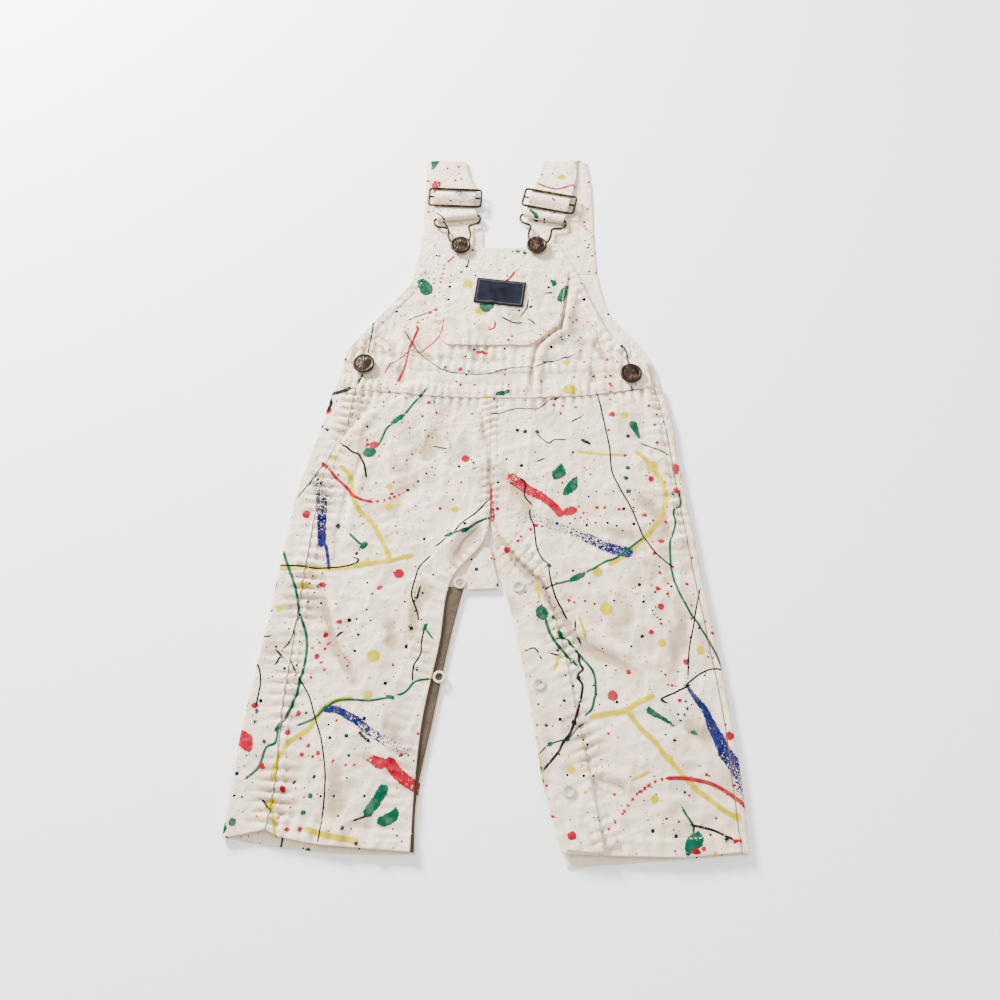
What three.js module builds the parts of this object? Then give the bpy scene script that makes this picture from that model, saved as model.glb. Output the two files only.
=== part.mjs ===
// Infant bib overalls in printed cotton twill, laid flat on their back.
// Millimetres. +X is the right-hand side as laid, +Y runs from the hems to the straps, +Z is up.
// The back pieces rest on z = 0 and the front pieces lie on them.
import * as THREE from "three";

// Driving dimensions of the cloth.
const WALL = 1.2; // twill with its turnings
const TRIM_WALL = 1.0; // pocket, facing, tape, flap and label
const GAP = 0.3; // between pieces at a seam or in a stack
const SIDE_GAP = 0.6; // between front and back at a side seam, whose edges lean
const PLY_GAP = 0.4; // under what is sewn onto a curved panel
const EDGE_RADIUS = 1.5; // middle of the cloth where a leg rolls over at its side
const BACK_LEVEL = WALL / 2; // middle of the cloth that rests on the surface
const LEG_LEVEL = BACK_LEVEL + 2 * EDGE_RADIUS; // middle of the front cloth on legs and hips
const BIB_LEVEL = WALL + GAP + WALL / 2; // middle of the bib, flat on the back
const CENTRE_SEAM = 2; // X of the front and back centre seams
const NECKLINE = 150; // Y of the back bib's top edge

// Driving dimensions of the fastenings.
const STRAP_HALF = 15.5;
const FOLD_RADIUS = 0.9; // middle of the strap where it turns over at the shoulder
const STRAP_TAIL = [3.5, 7]; // how far past the hook's bar the strap's sewn end lies
const WIRE = 0.9; // radius of the hook's wire
const TAIL_LEVEL = WALL + GAP + WALL / 2;
const HOOK_LEVEL = TAIL_LEVEL + WALL / 2 + PLY_GAP + WIRE;
const RUN_LEVEL = TAIL_LEVEL + WALL + GAP; // strap under the slider's outer bars
const SLIDER_LEVEL = RUN_LEVEL + WALL / 2 + GAP + WIRE;
const SLIDER = { halfWidth: 20.9, halfHeight: 9.2, bar: 2 * WIRE };
const HOOK_BAR = 28.5; // from the button to the hook's top bar
const BUTTON = { head: 7.7, shank: 2.6, shankHeight: 2.1, headHeight: 2.5 };
const SNAP = { outer: 3.9, inner: 2.3, height: 1.1 };

// Where the fastenings lie: the button's place, how far its hook leans, the slider's place and lean.
const BUCKLES = {
  left: { button: [-21, 174], hookLean: 7, slider: [-26, 220.5], sliderLean: -3 },
  right: { button: [36, 174], hookLean: -12, slider: [46.5, 217], sliderLean: -13 },
};
const SIDE_BUTTONS = { left: [-87, 68], right: [100, 60] };
const PLACKET_SNAPS = [
  [20, -97],
  [32, -159],
  [48, -221],
];
const TAPE_SNAPS = [
  [-16.9, -93.5],
  [-28.4, -154],
];

// ---- helpers on numbers -------------------------------------------------------------------

const clamp01 = (t) => Math.min(1, Math.max(0, t));
const smooth = (t) => clamp01(t) ** 2 * (3 - 2 * clamp01(t));
const mix = (a, b, t) => a + (b - a) * t;

// A smooth row of numbers at t (0 to 1) through rows that are evenly spaced along t.
function rowAt(rows, t) {
  const place = clamp01(t) * (rows.length - 1);
  const i = Math.min(Math.floor(place), rows.length - 2);
  const f = place - i;
  const pick = (k) => rows[Math.min(Math.max(k, 0), rows.length - 1)];
  return rows[i].map((_, c) => {
    const [a, b, d, e] = [pick(i - 1)[c], pick(i)[c], pick(i + 1)[c], pick(i + 2)[c]];
    const slopeB = (d - a) / 2;
    const slopeD = (e - b) / 2;
    return (
      b * (1 - 3 * f ** 2 + 2 * f ** 3) +
      d * (3 * f ** 2 - 2 * f ** 3) +
      slopeB * (f - 2 * f ** 2 + f ** 3) +
      slopeD * (f ** 3 - f ** 2)
    );
  });
}

// The height of a line through points [x, y] at x, level past its ends.
function lineAt(points, x) {
  const next = points.findIndex((p) => p[0] > x);
  if (next === 0) return points[0][1];
  if (next < 0) return points[points.length - 1][1];
  const [a, b] = [points[next - 1], points[next]];
  return mix(a[1], b[1], (x - a[0]) / (b[0] - a[0]));
}

// The distance from (x, y) to a path of points.
function distanceTo(path, x, y) {
  let nearest = Infinity;
  for (let i = 1; i < path.length; i++) {
    const [ax, ay] = path[i - 1];
    const [dx, dy] = [path[i][0] - ax, path[i][1] - ay];
    const t = clamp01(((x - ax) * dx + (y - ay) * dy) / (dx * dx + dy * dy));
    nearest = Math.min(nearest, Math.hypot(x - ax - t * dx, y - ay - t * dy));
  }
  return nearest;
}

const bump = (path, reach, height) => (x, y) => height * Math.exp(-((distanceTo(path, x, y) / reach) ** 2));

// A point of a frame that leans by `lean` degrees, anticlockwise, about `origin`.
function placed([ox, oy], lean, x, y) {
  const a = THREE.MathUtils.degToRad(lean);
  return [ox + x * Math.cos(a) - y * Math.sin(a), oy + x * Math.sin(a) + y * Math.cos(a)];
}

// ---- the form of the front ----------------------------------------------------------------

// A line that dips to [x, y] and rises smoothly by `left` and `right` at each side's reach.
const valley = ([x0, y0], reach, left, right) => (x) =>
  y0 + (x < x0 ? left : right) * ((x - x0) / reach) ** 2;

// Seam lines, as functions of x.
const waistSeam = valley([20, 41.5], 110, 7, 12);
const bibSeam = valley([15, 71.5], 110, 9, 3);

// Free edges, as [x, y] points.
const BIB_TOP = [[-46, 181], [-21, 178], [-4, 174], [28, 174.5], [52, 178]];
const LEFT_HEM = [[-124, -242], [-116, -246], [-94, -250], [-42, -254]];
const RIGHT_HEM = [[42, -254.5], [70, -256], [112, -257], [145, -254]];

// Soft swellings and folds of the front: the legs and seat hold a little air between the layers.
const SWELLINGS = [
  bump([[-62, -70], [-80, -225]], 24, 1.2),
  bump([[88, -70], [104, -225]], 24, 1.2),
  bump([[-60, 10], [-48, -40]], 28, 1.1),
  bump([[64, 10], [62, -40]], 28, 1.1),
  bump([[-30, 108], [30, 112]], 22, 1.0),
  bump([[58, 140], [52, 104], [34, 84], [29, 50]], 5, 0.8), // fold beside the pocket
  bump([[-80, 38], [-100, 10]], 6, -1.0), // crease into the left side opening
  bump([[-84, 5], [-97, -76]], 6, -1.0), // crease down the left hip
  bump([[10, -62], [34, -94], [58, -134]], 5, 0.7), // fold from the crotch down the right leg
  bump([[58, -205], [92, -232]], 6, -0.8), // crease at the right knee
];

// The middle of the front cloth above (x, y).
function frontHeight(x, y) {
  const base = mix(LEG_LEVEL, BIB_LEVEL, smooth((y - 70) / 70));
  const nearTop = 1 - smooth((y - 130) / 30);
  const swell = SWELLINGS.reduce((sum, f) => sum + f(x, y), 0);
  return base + swell * nearTop;
}

// ---- cloth --------------------------------------------------------------------------------

// A closed wall of cloth about a grid of mid-points, grid[j][i], half its thickness to each side.
function wall(grid, thickness) {
  const [rows, cols] = [grid.length, grid[0].length];
  const [along, across, normal, point] = [0, 1, 2, 3].map(() => new THREE.Vector3());
  const corners = [[], []]; // one list for each face
  const at = (j, i) => grid[Math.min(Math.max(j, 0), rows - 1)][Math.min(Math.max(i, 0), cols - 1)];
  for (let j = 0; j < rows; j++) {
    for (let i = 0; i < cols; i++) {
      across.subVectors(at(j, i + 1), at(j, i - 1));
      along.subVectors(at(j + 1, i), at(j - 1, i));
      normal.crossVectors(across, along).normalize();
      for (const [face, side] of [0.5, -0.5].entries()) {
        point.copy(at(j, i)).addScaledVector(normal, side * thickness);
        corners[face].push(...point.toArray());
      }
    }
  }
  const index = [];
  const quad = (a, b, c, d) => index.push(a, b, c, a, c, d);
  const one = (j, i) => j * cols + i;
  const two = (j, i) => rows * cols + j * cols + i;
  for (let j = 0; j < rows - 1; j++) {
    for (let i = 0; i < cols - 1; i++) {
      quad(one(j, i), one(j, i + 1), one(j + 1, i + 1), one(j + 1, i));
      quad(two(j, i), two(j + 1, i), two(j + 1, i + 1), two(j, i + 1));
    }
    quad(one(j, 0), one(j + 1, 0), two(j + 1, 0), two(j, 0));
    quad(one(j + 1, cols - 1), one(j, cols - 1), two(j, cols - 1), two(j + 1, cols - 1));
  }
  for (let i = 0; i < cols - 1; i++) {
    quad(one(0, i + 1), one(0, i), two(0, i), two(0, i + 1));
    quad(one(rows - 1, i), one(rows - 1, i + 1), two(rows - 1, i + 1), two(rows - 1, i));
  }
  const geometry = new THREE.BufferGeometry();
  geometry.setAttribute("position", new THREE.Float32BufferAttribute([...corners[0], ...corners[1]], 3));
  geometry.setIndex(index);
  return geometry;
}

// The X of a centre seam's edge on one side of the garment, -1 on the left and 1 on the right.
const centre = (side) => CENTRE_SEAM + (side * GAP) / 2;

// Keeps a leg's inner line on its own side of the centre seam.
const ownSide = (side, x) => (side < 0 ? Math.min(x, centre(side)) : Math.max(x, centre(side)));

// Moves a ruled row's y onto a seam line near one end of a panel.
function fitEdges(x, y, v, ends, edges) {
  const top = edges.top ? (edges.top(x) - ends.top) * v ** 3 : 0;
  const bottom = edges.bottom ? (edges.bottom(x) - ends.bottom) * (1 - v) ** 3 : 0;
  return y + top + bottom;
}

// A panel ruled between its two side lines. A row holds [side x, side y, other side x, y].
function panel(rows, { across, along, height, thickness = WALL, edges = {}, side = 0 }) {
  const grid = [];
  for (let j = 0; j <= along; j++) {
    const v = j / along;
    const row = rowAt(rows, v);
    if (side) row[2] = ownSide(side, row[2]);
    const line = [];
    for (let i = 0; i <= across; i++) {
      const u = i / across;
      const x = mix(row[0], row[2], u);
      const ends = {
        top: mix(rows[rows.length - 1][1], rows[rows.length - 1][3], u),
        bottom: mix(rows[0][1], rows[0][3], u),
      };
      const y = fitEdges(x, mix(row[1], row[3], u), v, ends, edges);
      line.push(new THREE.Vector3(x, y, height(x, y)));
    }
    grid.push(line);
  }
  return wall(grid, thickness);
}

// The back of a leg: flat on the surface from its inner line to its outer edge, rolled over that
// edge, and back along the top to the side seam.
// A row holds [outer x, y, inner x, y, seam x, y].
function backLeg(rows, { along, flat, roll, top, hemDrop, side }) {
  const grid = [];
  for (let j = 0; j <= along; j++) {
    const v = j / along;
    const [ox, oy, freeX, iy, sx, sy] = rowAt(rows, v);
    const ix = ownSide(side, freeX);
    const reach = Math.hypot(ox - ix, oy - iy);
    const [dx, dy] = [(ox - ix) / reach, (oy - iy) / reach];
    const inset = EDGE_RADIUS + WALL / 2;
    const [cx, cy] = [ox - dx * inset, oy - dy * inset];
    const line = [];
    const add = (x, y, z) => {
      const last = rows[rows.length - 1];
      const end = mix(last[1], last[3], clamp01((x - last[0]) / (last[2] - last[0])));
      const onSeam = (waistSeam(x) - GAP / 2 - end) * v ** 3;
      line.push(new THREE.Vector3(x, y + onSeam, z));
    };
    for (let i = 0; i <= flat; i++) {
      const u = i / flat;
      const drop = hemDrop * Math.sin(Math.PI * u) * (1 - v) ** 6;
      add(mix(ix, cx, u), mix(iy, cy, u) - drop, BACK_LEVEL);
    }
    for (let i = 1; i <= roll; i++) {
      const a = (Math.PI * i) / roll;
      const out = EDGE_RADIUS * Math.sin(a);
      add(cx + dx * out, cy + dy * out, BACK_LEVEL + EDGE_RADIUS * (1 - Math.cos(a)));
    }
    for (let i = 1; i <= top; i++) {
      const u = i / top;
      const [x, y] = [mix(cx, sx, u), mix(cy, sy, u)];
      add(x, y, mix(LEG_LEVEL, frontHeight(x, y), smooth(u)));
    }
    grid.push(line);
  }
  return wall(grid, WALL);
}

// A strip of cloth through rows of [left x, left y, right x, right y, level].
function ribbon(rows, across) {
  const grid = rows.map(([lx, ly, rx, ry, z]) => {
    const line = [];
    for (let i = 0; i <= across; i++) {
      line.push(new THREE.Vector3(mix(lx, rx, i / across), mix(ly, ry, i / across), z));
    }
    return line;
  });
  return wall(grid, WALL);
}

// A shoulder strap: up the back, folded over at the shoulder, down the front, over the slider's
// middle bar, round the hook's top bar and a short way back underneath.
function strapRows(back, front, buckle) {
  const rows = back.map((row) => [...row, BACK_LEVEL]);
  const [from, to] = [back[back.length - 1], front[0]];
  const turns = 5;
  for (let k = 1; k < turns; k++) {
    const a = (Math.PI * k) / turns;
    const rise = FOLD_RADIUS * Math.sin(a);
    const row = from.map((value, c) => mix(value, to[c], k / turns));
    row[1] += rise;
    row[3] += rise;
    rows.push([...row, BACK_LEVEL + FOLD_RADIUS * (1 - Math.cos(a))]);
  }
  const above = BACK_LEVEL + 2 * FOLD_RADIUS;
  for (const [k, row] of front.entries()) rows.push([...row, mix(above, RUN_LEVEL, (k / front.length) ** 2)]);
  const over = SLIDER_LEVEL + WIRE + GAP + WALL / 2;
  const barAt = SLIDER.halfHeight - WIRE;
  const cross = (origin, lean, y, z) => {
    const left = placed(origin, lean, -STRAP_HALF, y);
    const right = placed(origin, lean, STRAP_HALF, y);
    rows.push([...left, ...right, z]);
  };
  const clear = 1.7; // half the level stretch at each bar
  const weave = [[barAt + clear, RUN_LEVEL], [barAt - clear, RUN_LEVEL], [clear, over]];
  for (const [y, z] of weave) cross(buckle.slider, buckle.sliderLean, y, z);
  for (const [y, z] of weave.reverse()) cross(buckle.slider, buckle.sliderLean, -y, z);
  const wrap = HOOK_LEVEL - TAIL_LEVEL;
  cross(buckle.button, buckle.hookLean, HOOK_BAR + clear, HOOK_LEVEL + wrap);
  for (let k = 0; k <= turns; k++) {
    const a = (Math.PI * k) / turns;
    const y = HOOK_BAR - wrap * Math.sin(a);
    cross(buckle.button, buckle.hookLean, y, HOOK_LEVEL + wrap * Math.cos(a));
  }
  for (const beyond of STRAP_TAIL) cross(buckle.button, buckle.hookLean, HOOK_BAR + beyond, TAIL_LEVEL);
  return rows;
}

// ---- fastenings ---------------------------------------------------------------------------

// A round wire through points, capped at its two ends.
function wire(points, steps) {
  const sides = 8;
  const section = new THREE.Shape();
  for (let k = 0; k < sides; k++) {
    const a = (2 * Math.PI * k) / sides;
    const [x, y] = [WIRE * Math.cos(a), WIRE * Math.sin(a)];
    if (k === 0) section.moveTo(x, y);
    else section.lineTo(x, y);
  }
  section.closePath();
  const path = new THREE.CatmullRomCurve3(points.map((p) => new THREE.Vector3(...p)), false, "centripetal");
  return new THREE.ExtrudeGeometry(section, { steps, extrudePath: path, bevelEnabled: false });
}

// The hook: its wire starts and ends at the middle of the top bar, inside the strap's loop.
function hook(buckle) {
  const half = [
    [GAP, HOOK_BAR],
    [10, HOOK_BAR],
    [16.2, HOOK_BAR - 0.3],
    [17.4, HOOK_BAR - 2.5],
    [17.2, 23.5],
    [15, 20.8],
    [10, 19.6],
    [8, 17.5],
    [8.4, 12],
    [7.2, 6.5],
    [4.6, 2.6],
    [3.9, -0.8],
    [2.4, -3.4],
  ];
  const eye = [[0, -4.3]];
  const mirrored = half.map(([x, y]) => [-x, y]).reverse();
  const outline = [...half, ...eye, ...mirrored];
  const points = outline.map(([x, y]) => [...placed(buckle.button, buckle.hookLean, x, y), HOOK_LEVEL]);
  return wire(points, 72);
}

// The slider: a flat frame with a middle bar.
function slider() {
  const { halfWidth, halfHeight, bar } = SLIDER;
  const corner = 2.2;
  const frame = new THREE.Shape();
  frame.moveTo(-halfWidth + corner, -halfHeight);
  frame.lineTo(halfWidth - corner, -halfHeight);
  frame.absarc(halfWidth - corner, -halfHeight + corner, corner, -Math.PI / 2, 0, false);
  frame.absarc(halfWidth - corner, halfHeight - corner, corner, 0, Math.PI / 2, false);
  frame.absarc(-halfWidth + corner, halfHeight - corner, corner, Math.PI / 2, Math.PI, false);
  frame.absarc(-halfWidth + corner, -halfHeight + corner, corner, Math.PI, 1.5 * Math.PI, false);
  for (const side of [-1, 1]) {
    const [near, far] = [(side * bar) / 2, side * (halfHeight - bar)];
    const [low, high] = [Math.min(near, far), Math.max(near, far)];
    const window = new THREE.Path();
    window.moveTo(-halfWidth + bar, low);
    window.lineTo(halfWidth - bar, low);
    window.lineTo(halfWidth - bar, high);
    window.lineTo(-halfWidth + bar, high);
    window.closePath();
    frame.holes.push(window);
  }
  const geometry = new THREE.ExtrudeGeometry(frame, { depth: bar, bevelEnabled: false, curveSegments: 4 });
  return geometry.translate(0, 0, -bar / 2);
}

// A closed profile of [radius, height] turned about +Z.
function turned(profile, sides) {
  const points = profile.map(([r, z]) => new THREE.Vector2(r, z));
  return new THREE.LatheGeometry(points, sides).rotateX(Math.PI / 2);
}

// A tack button: a short shank under a domed head with a raised rim.
function tackButton() {
  const { head, shank, shankHeight, headHeight } = BUTTON;
  const top = shankHeight + headHeight;
  const profile = [
    [0, 0],
    [shank, 0],
    [shank, shankHeight],
    [head - 0.6, shankHeight],
    [head, shankHeight + 0.7],
    [head - 0.3, top - 0.7],
    [head - 1.3, top - 0.3],
    [head - 2.2, top - 0.6],
    [3, top],
    [0, top],
  ];
  return turned(profile, 20);
}

// A snap's ring.
function snapRing() {
  const { outer, inner, height } = SNAP;
  const edge = 0.4;
  const profile = [
    [inner, 0],
    [outer, 0],
    [outer, height - edge],
    [outer - edge, height],
    [inner + edge, height],
    [inner, height - edge],
    [inner, 0],
  ];
  return turned(profile, 16);
}

// ---- the garment --------------------------------------------------------------------------

const overalls = new THREE.Group();

const FINISH = {
  twill: { color: 0xe9e0d3, roughness: 0.92, metalness: 0 },
  label: { color: 0x1c2038, roughness: 0.7, metalness: 0 },
  bronze: { color: 0x3a2e24, roughness: 0.42, metalness: 0.9 },
  plastic: { color: 0xf2efe8, roughness: 0.4, metalness: 0 },
};

function add(name, geometry, finish = "twill") {
  const mesh = new THREE.Mesh(geometry, new THREE.MeshStandardMaterial(FINISH[finish]));
  mesh.name = name;
  overalls.add(mesh);
  return mesh;
}

// Back legs: rows from the hem up to the waist, [outer x, y, inner x, y, seam x, y].
const BACK_LEG_LEFT = [
  [-149, -246, -39, -255, -124, -242],
  [-147, -214, -38.4, -222, -121.5, -214],
  [-144, -177, -31, -182, -121.5, -177],
  [-138, -131, -21.5, -131, -119, -134],
  [-133.5, -94, -12.8, -94, -116.5, -96],
  [-130, -62, -1, -84, -114, -66],
  [-126, -29, centre(-1), -50, -111, -32],
  [-120, -3, centre(-1), -15, -106, -3],
  [-115, 15, centre(-1), 14, -97, 17],
  [-107.5, 50.6, centre(-1), 41.9, -92, 49.4],
];
const BACK_LEG_RIGHT = [
  [149, -255, 46, -262, 144.5, -254],
  [148.8, -218, 35.5, -226, 143.6, -218],
  [146.5, -178, 28, -180, 142, -178],
  [142, -134, 20, -134, 137.5, -134],
  [137.5, -94, 11, -96, 133, -96],
  [134.5, -62, 4.5, -84, 130, -66],
  [131, -29, centre(1), -50, 126.5, -32],
  [128.5, -3, centre(1), -15, 124, -4],
  [127, 20, centre(1), 14, 122, 18],
  [121, 51.6, centre(1), 41.9, 116.5, 51.2],
];
const LEG_GRID = { along: 20, flat: 7, roll: 4, top: 3 };
add("back_leg_left", backLeg(BACK_LEG_LEFT, { ...LEG_GRID, hemDrop: 3, side: -1 }));
add("back_leg_right", backLeg(BACK_LEG_RIGHT, { ...LEG_GRID, top: 1, hemDrop: 0, side: 1 }));

// Front legs: from the side seam to the inner line and the centre seam.
const fromSeam = (backRows, inner, side) =>
  inner.map(([x, y], k) => [backRows[k][4] - side * SIDE_GAP, backRows[k][5], x, y]);
const FRONT_INNER_LEFT = [
  [-42, -254],
  [-41, -220],
  [-37.5, -178],
  [-29, -134],
  [-23, -93],
  [-3, -66.5],
  [centre(-1), -45],
  [centre(-1), -15],
  [centre(-1), 14],
  [centre(-1), 41.9],
];
const FRONT_INNER_RIGHT = [
  [43, -254.5],
  [33.5, -218],
  [27.5, -176],
  [19, -132],
  [11, -94],
  [5.5, -70],
  [centre(1), -45],
  [centre(1), -15],
  [centre(1), 14],
  [centre(1), 41.9],
];
const belowWaist = (x) => waistSeam(x) - GAP / 2;
const aboveWaist = (x) => waistSeam(x) + GAP / 2;
const FRONT_GRID = { across: 9, along: LEG_GRID.along, height: frontHeight };
add(
  "front_leg_left",
  panel(fromSeam(BACK_LEG_LEFT, FRONT_INNER_LEFT, -1), {
    ...FRONT_GRID,
    side: -1,
    edges: { top: belowWaist, bottom: (x) => lineAt(LEFT_HEM, x) },
  }),
);
add(
  "front_leg_right",
  panel(fromSeam(BACK_LEG_RIGHT, FRONT_INNER_RIGHT, 1), {
    ...FRONT_GRID,
    side: 1,
    edges: { top: belowWaist, bottom: (x) => lineAt(RIGHT_HEM, x) },
  }),
);

// Back bib: flat on the surface from the waist to the neckline.
const BACK_BIB = [
  [-107.5, 51, 121, 51.8],
  [-104, 64, 118, 68],
  [-97, 88, 108.5, 88],
  [-82, 110, 95, 105],
  [-68, 128, 87, 118],
  [-59, 141, 83, 134],
  [-55.7, NECKLINE, 80.7, NECKLINE],
];
add(
  "back_bib",
  panel(BACK_BIB, {
    across: 10,
    along: 8,
    height: () => BACK_LEVEL,
    edges: { bottom: aboveWaist },
  }),
);

// Waistband: columns from its left end to its right end, [bottom x, y, top x, y].
const WAISTBAND = [-103, -76, -40, 0, 36, 74, 114].map((x) => {
  const lean = -0.02 * x;
  return [x, aboveWaist(x), x + lean, bibSeam(x + lean) - GAP / 2];
});
add("waistband", panel(WAISTBAND, { across: 4, along: 22, height: frontHeight }));

// Bib and what is sewn on it.
const BIB = [
  [-100, 82, 112, 72.5],
  [-88, 100, 90, 90],
  [-75, 117, 81, 108],
  [-62, 134, 74, 126],
  [-52, 150, 67, 146],
  [-48, 166, 59, 164],
  [-46, 181, 52, 178],
];
add(
  "front_bib",
  panel(BIB, {
    across: 12,
    along: 10,
    height: frontHeight,
    edges: { top: (x) => lineAt(BIB_TOP, x), bottom: (x) => bibSeam(x) + GAP / 2 },
  }),
);
const onFront = (x, y) => frontHeight(x, y) + WALL / 2 + PLY_GAP + TRIM_WALL / 2;
const POCKET = [
  [-29, 85, 30, 85],
  [-34, 92, 43, 93],
  [-34, 106, 53, 106],
  [-33, 130, 57, 130],
  [-32, 154, 59, 152],
];
add("bib_pocket", panel(POCKET, { across: 8, along: 6, height: onFront, thickness: TRIM_WALL }));

const LABEL = { centre: [8.5, 131], lean: -7, halfWidth: 18.2, halfHeight: 11.3 };
const labelRow = (y) => [
  ...placed(LABEL.centre, LABEL.lean, -LABEL.halfWidth, y),
  ...placed(LABEL.centre, LABEL.lean, LABEL.halfWidth, y),
];
const onPocket = (x, y) => onFront(x, y) + TRIM_WALL + GAP;
add(
  "label",
  panel([labelRow(-LABEL.halfHeight), labelRow(LABEL.halfHeight)], {
    across: 5,
    along: 3,
    height: onPocket,
    thickness: TRIM_WALL,
  }),
  "label",
);

// Crotch flap between the legs, and the two halves of the inner-leg closing.
const CROTCH_FLAP = [
  [-12.4, -98, 8, -97],
  [-11.4, -83, 5, -82],
  [-2, -69.5, 2.5, -69.5],
];
const FLAP_LEVEL = WALL + PLY_GAP + GAP + TRIM_WALL / 2;
add("crotch_flap", panel(CROTCH_FLAP, { across: 3, along: 4, height: () => FLAP_LEVEL, thickness: TRIM_WALL }));

const SNAP_PLACKET = [
  [45, -253, 67, -255],
  [36.5, -222, 62, -222],
  [29.5, -176, 54, -176],
  [21, -132, 46, -131],
  [13, -95, 33, -90],
  [7.5, -72, 12, -66],
];
add("snap_placket", panel(SNAP_PLACKET, { across: 4, along: 16, height: onFront, thickness: TRIM_WALL }));

const SNAP_TAPE = [
  [-54, -253, -40, -254],
  [-53, -222, -39.4, -222],
  [-46, -182, -32, -182],
  [-36, -131, -22.5, -131],
  [-27, -96, -14, -95],
];
const TAPE_HEIGHT = WALL + GAP + TRIM_WALL / 2;
add("snap_tape", panel(SNAP_TAPE, { across: 2, along: 12, height: () => TAPE_HEIGHT, thickness: TRIM_WALL }));

// Straps: rows [left x, y, right x, y] up the back, then down the front to the slider.
const STRAPS = {
  left: {
    back: [
      [-55.7, NECKLINE + GAP, -4, NECKLINE + GAP],
      [-53.5, 166, -4, 166],
      [-50, 190, -4, 190],
      [-50, 212, -9, 212],
      [-50, 236, -15, 236],
      [-49.5, 260.6, -18, 259.6],
    ],
    front: [
      [-49, 260.6, -18, 259.6],
      [-46.5, 246, -16.5, 247],
    ],
  },
  right: {
    back: [
      [28, NECKLINE + GAP, 80.7, NECKLINE + GAP],
      [28, 166, 80, 166],
      [29, 190, 79.5, 190],
      [34, 212, 80, 212],
      [40, 236, 80, 236],
      [46, 259.6, 77, 260.6],
    ],
    front: [
      [42.5, 259.6, 69, 260.4],
      [38.5, 244, 68.5, 244],
    ],
  },
};

for (const side of ["left", "right"]) {
  const buckle = BUCKLES[side];
  add(`strap_${side}`, ribbon(strapRows(STRAPS[side].back, STRAPS[side].front, buckle), 4));
  add(`hook_${side}`, hook(buckle), "bronze");
  const frame = add(`slider_${side}`, slider(), "bronze");
  frame.position.set(...buckle.slider, SLIDER_LEVEL);
  frame.rotation.z = THREE.MathUtils.degToRad(buckle.sliderLean);
  for (const [where, [x, y]] of [["bib", buckle.button], ["side", SIDE_BUTTONS[side]]]) {
    const button = add(`${where}_button_${side}`, tackButton(), "bronze");
    button.position.set(x, y, frontHeight(x, y) + WALL / 2 + GAP);
  }
}

for (const [k, [x, y]] of PLACKET_SNAPS.entries()) {
  const snap = add(`placket_snap_${k + 1}`, snapRing(), "plastic");
  snap.position.set(x, y, onFront(x, y) + TRIM_WALL / 2 + GAP);
}
for (const [k, [x, y]] of TAPE_SNAPS.entries()) {
  const snap = add(`tape_snap_${k + 1}`, snapRing(), "plastic");
  snap.position.set(x, y, TAPE_HEIGHT + TRIM_WALL / 2 + GAP);
}

export default overalls;
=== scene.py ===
"""Infant bib overalls in paint spattered cotton twill, laid flat on their back.

Sizes and places are in millimetres until a mesh is made. +X is the right-hand side as laid,
+Y runs from the hems to the straps and +Z is up. Fields are arrays over many points at once.
"""

import logging
import math
from collections.abc import Callable, Sequence
from dataclasses import dataclass, field
from enum import Enum

import bpy
import numpy as np
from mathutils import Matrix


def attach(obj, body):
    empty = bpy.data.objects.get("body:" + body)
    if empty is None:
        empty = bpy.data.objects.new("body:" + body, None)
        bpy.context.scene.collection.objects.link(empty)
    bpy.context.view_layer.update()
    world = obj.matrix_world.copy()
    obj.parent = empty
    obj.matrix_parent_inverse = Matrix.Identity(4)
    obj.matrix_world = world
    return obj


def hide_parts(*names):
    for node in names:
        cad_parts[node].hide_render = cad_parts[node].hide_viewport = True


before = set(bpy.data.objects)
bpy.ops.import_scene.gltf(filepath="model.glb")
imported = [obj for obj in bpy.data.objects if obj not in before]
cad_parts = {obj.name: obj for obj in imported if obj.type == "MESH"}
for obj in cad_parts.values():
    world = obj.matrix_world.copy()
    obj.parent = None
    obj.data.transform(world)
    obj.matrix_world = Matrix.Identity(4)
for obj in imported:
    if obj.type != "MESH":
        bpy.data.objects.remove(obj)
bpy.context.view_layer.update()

log = logging.getLogger("overalls")
logging.basicConfig(level=logging.INFO, format="%(name)s: %(message)s")

Array = np.ndarray
Point = tuple[float, float]
Field = Callable[[Array, Array], Array]

# Driving dimensions of the cloth, as in the solids.
WALL = 1.2
TRIM_WALL = 1.0
GAP = 0.3
SIDE_GAP = 0.6
PLY_GAP = 0.4
EDGE_RADIUS = 1.5
BACK_LEVEL = WALL / 2
LEG_LEVEL = BACK_LEVEL + 2 * EDGE_RADIUS
BIB_LEVEL = WALL + GAP + WALL / 2
CENTRE_SEAM = 2.0
NECKLINE = 150.0

# Driving dimensions of the fastenings, as in the solids.
STRAP_HALF = 15.5
FOLD_RADIUS = 0.9
STRAP_TAIL = (3.5, 7.0)
WIRE = 0.9
TAIL_LEVEL = WALL + GAP + WALL / 2
HOOK_LEVEL = TAIL_LEVEL + WALL / 2 + PLY_GAP + WIRE
RUN_LEVEL = TAIL_LEVEL + WALL + GAP
SLIDER_LEVEL = RUN_LEVEL + WALL / 2 + GAP + WIRE
SLIDER_HALF = (20.9, 9.2)
HOOK_BAR = 28.5
FLAP_LEVEL = WALL + PLY_GAP + GAP + TRIM_WALL / 2
TAPE_LEVEL = WALL + GAP + TRIM_WALL / 2

# How closely the cloth is meshed, in millimetres.
FINE = 0.95
MEDIUM = 1.3
COARSE = 2.2

FAR = 99.0  # a distance that stands for nowhere near
MM = 0.001  # metres in a millimetre


# ---- helpers on arrays ----------------------------------------------------------------------


def smooth(t: Array | float) -> Array:
    """An easy step from 0 at t = 0 to 1 at t = 1."""
    t = np.clip(t, 0.0, 1.0)
    return t * t * (3 - 2 * t)


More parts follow.
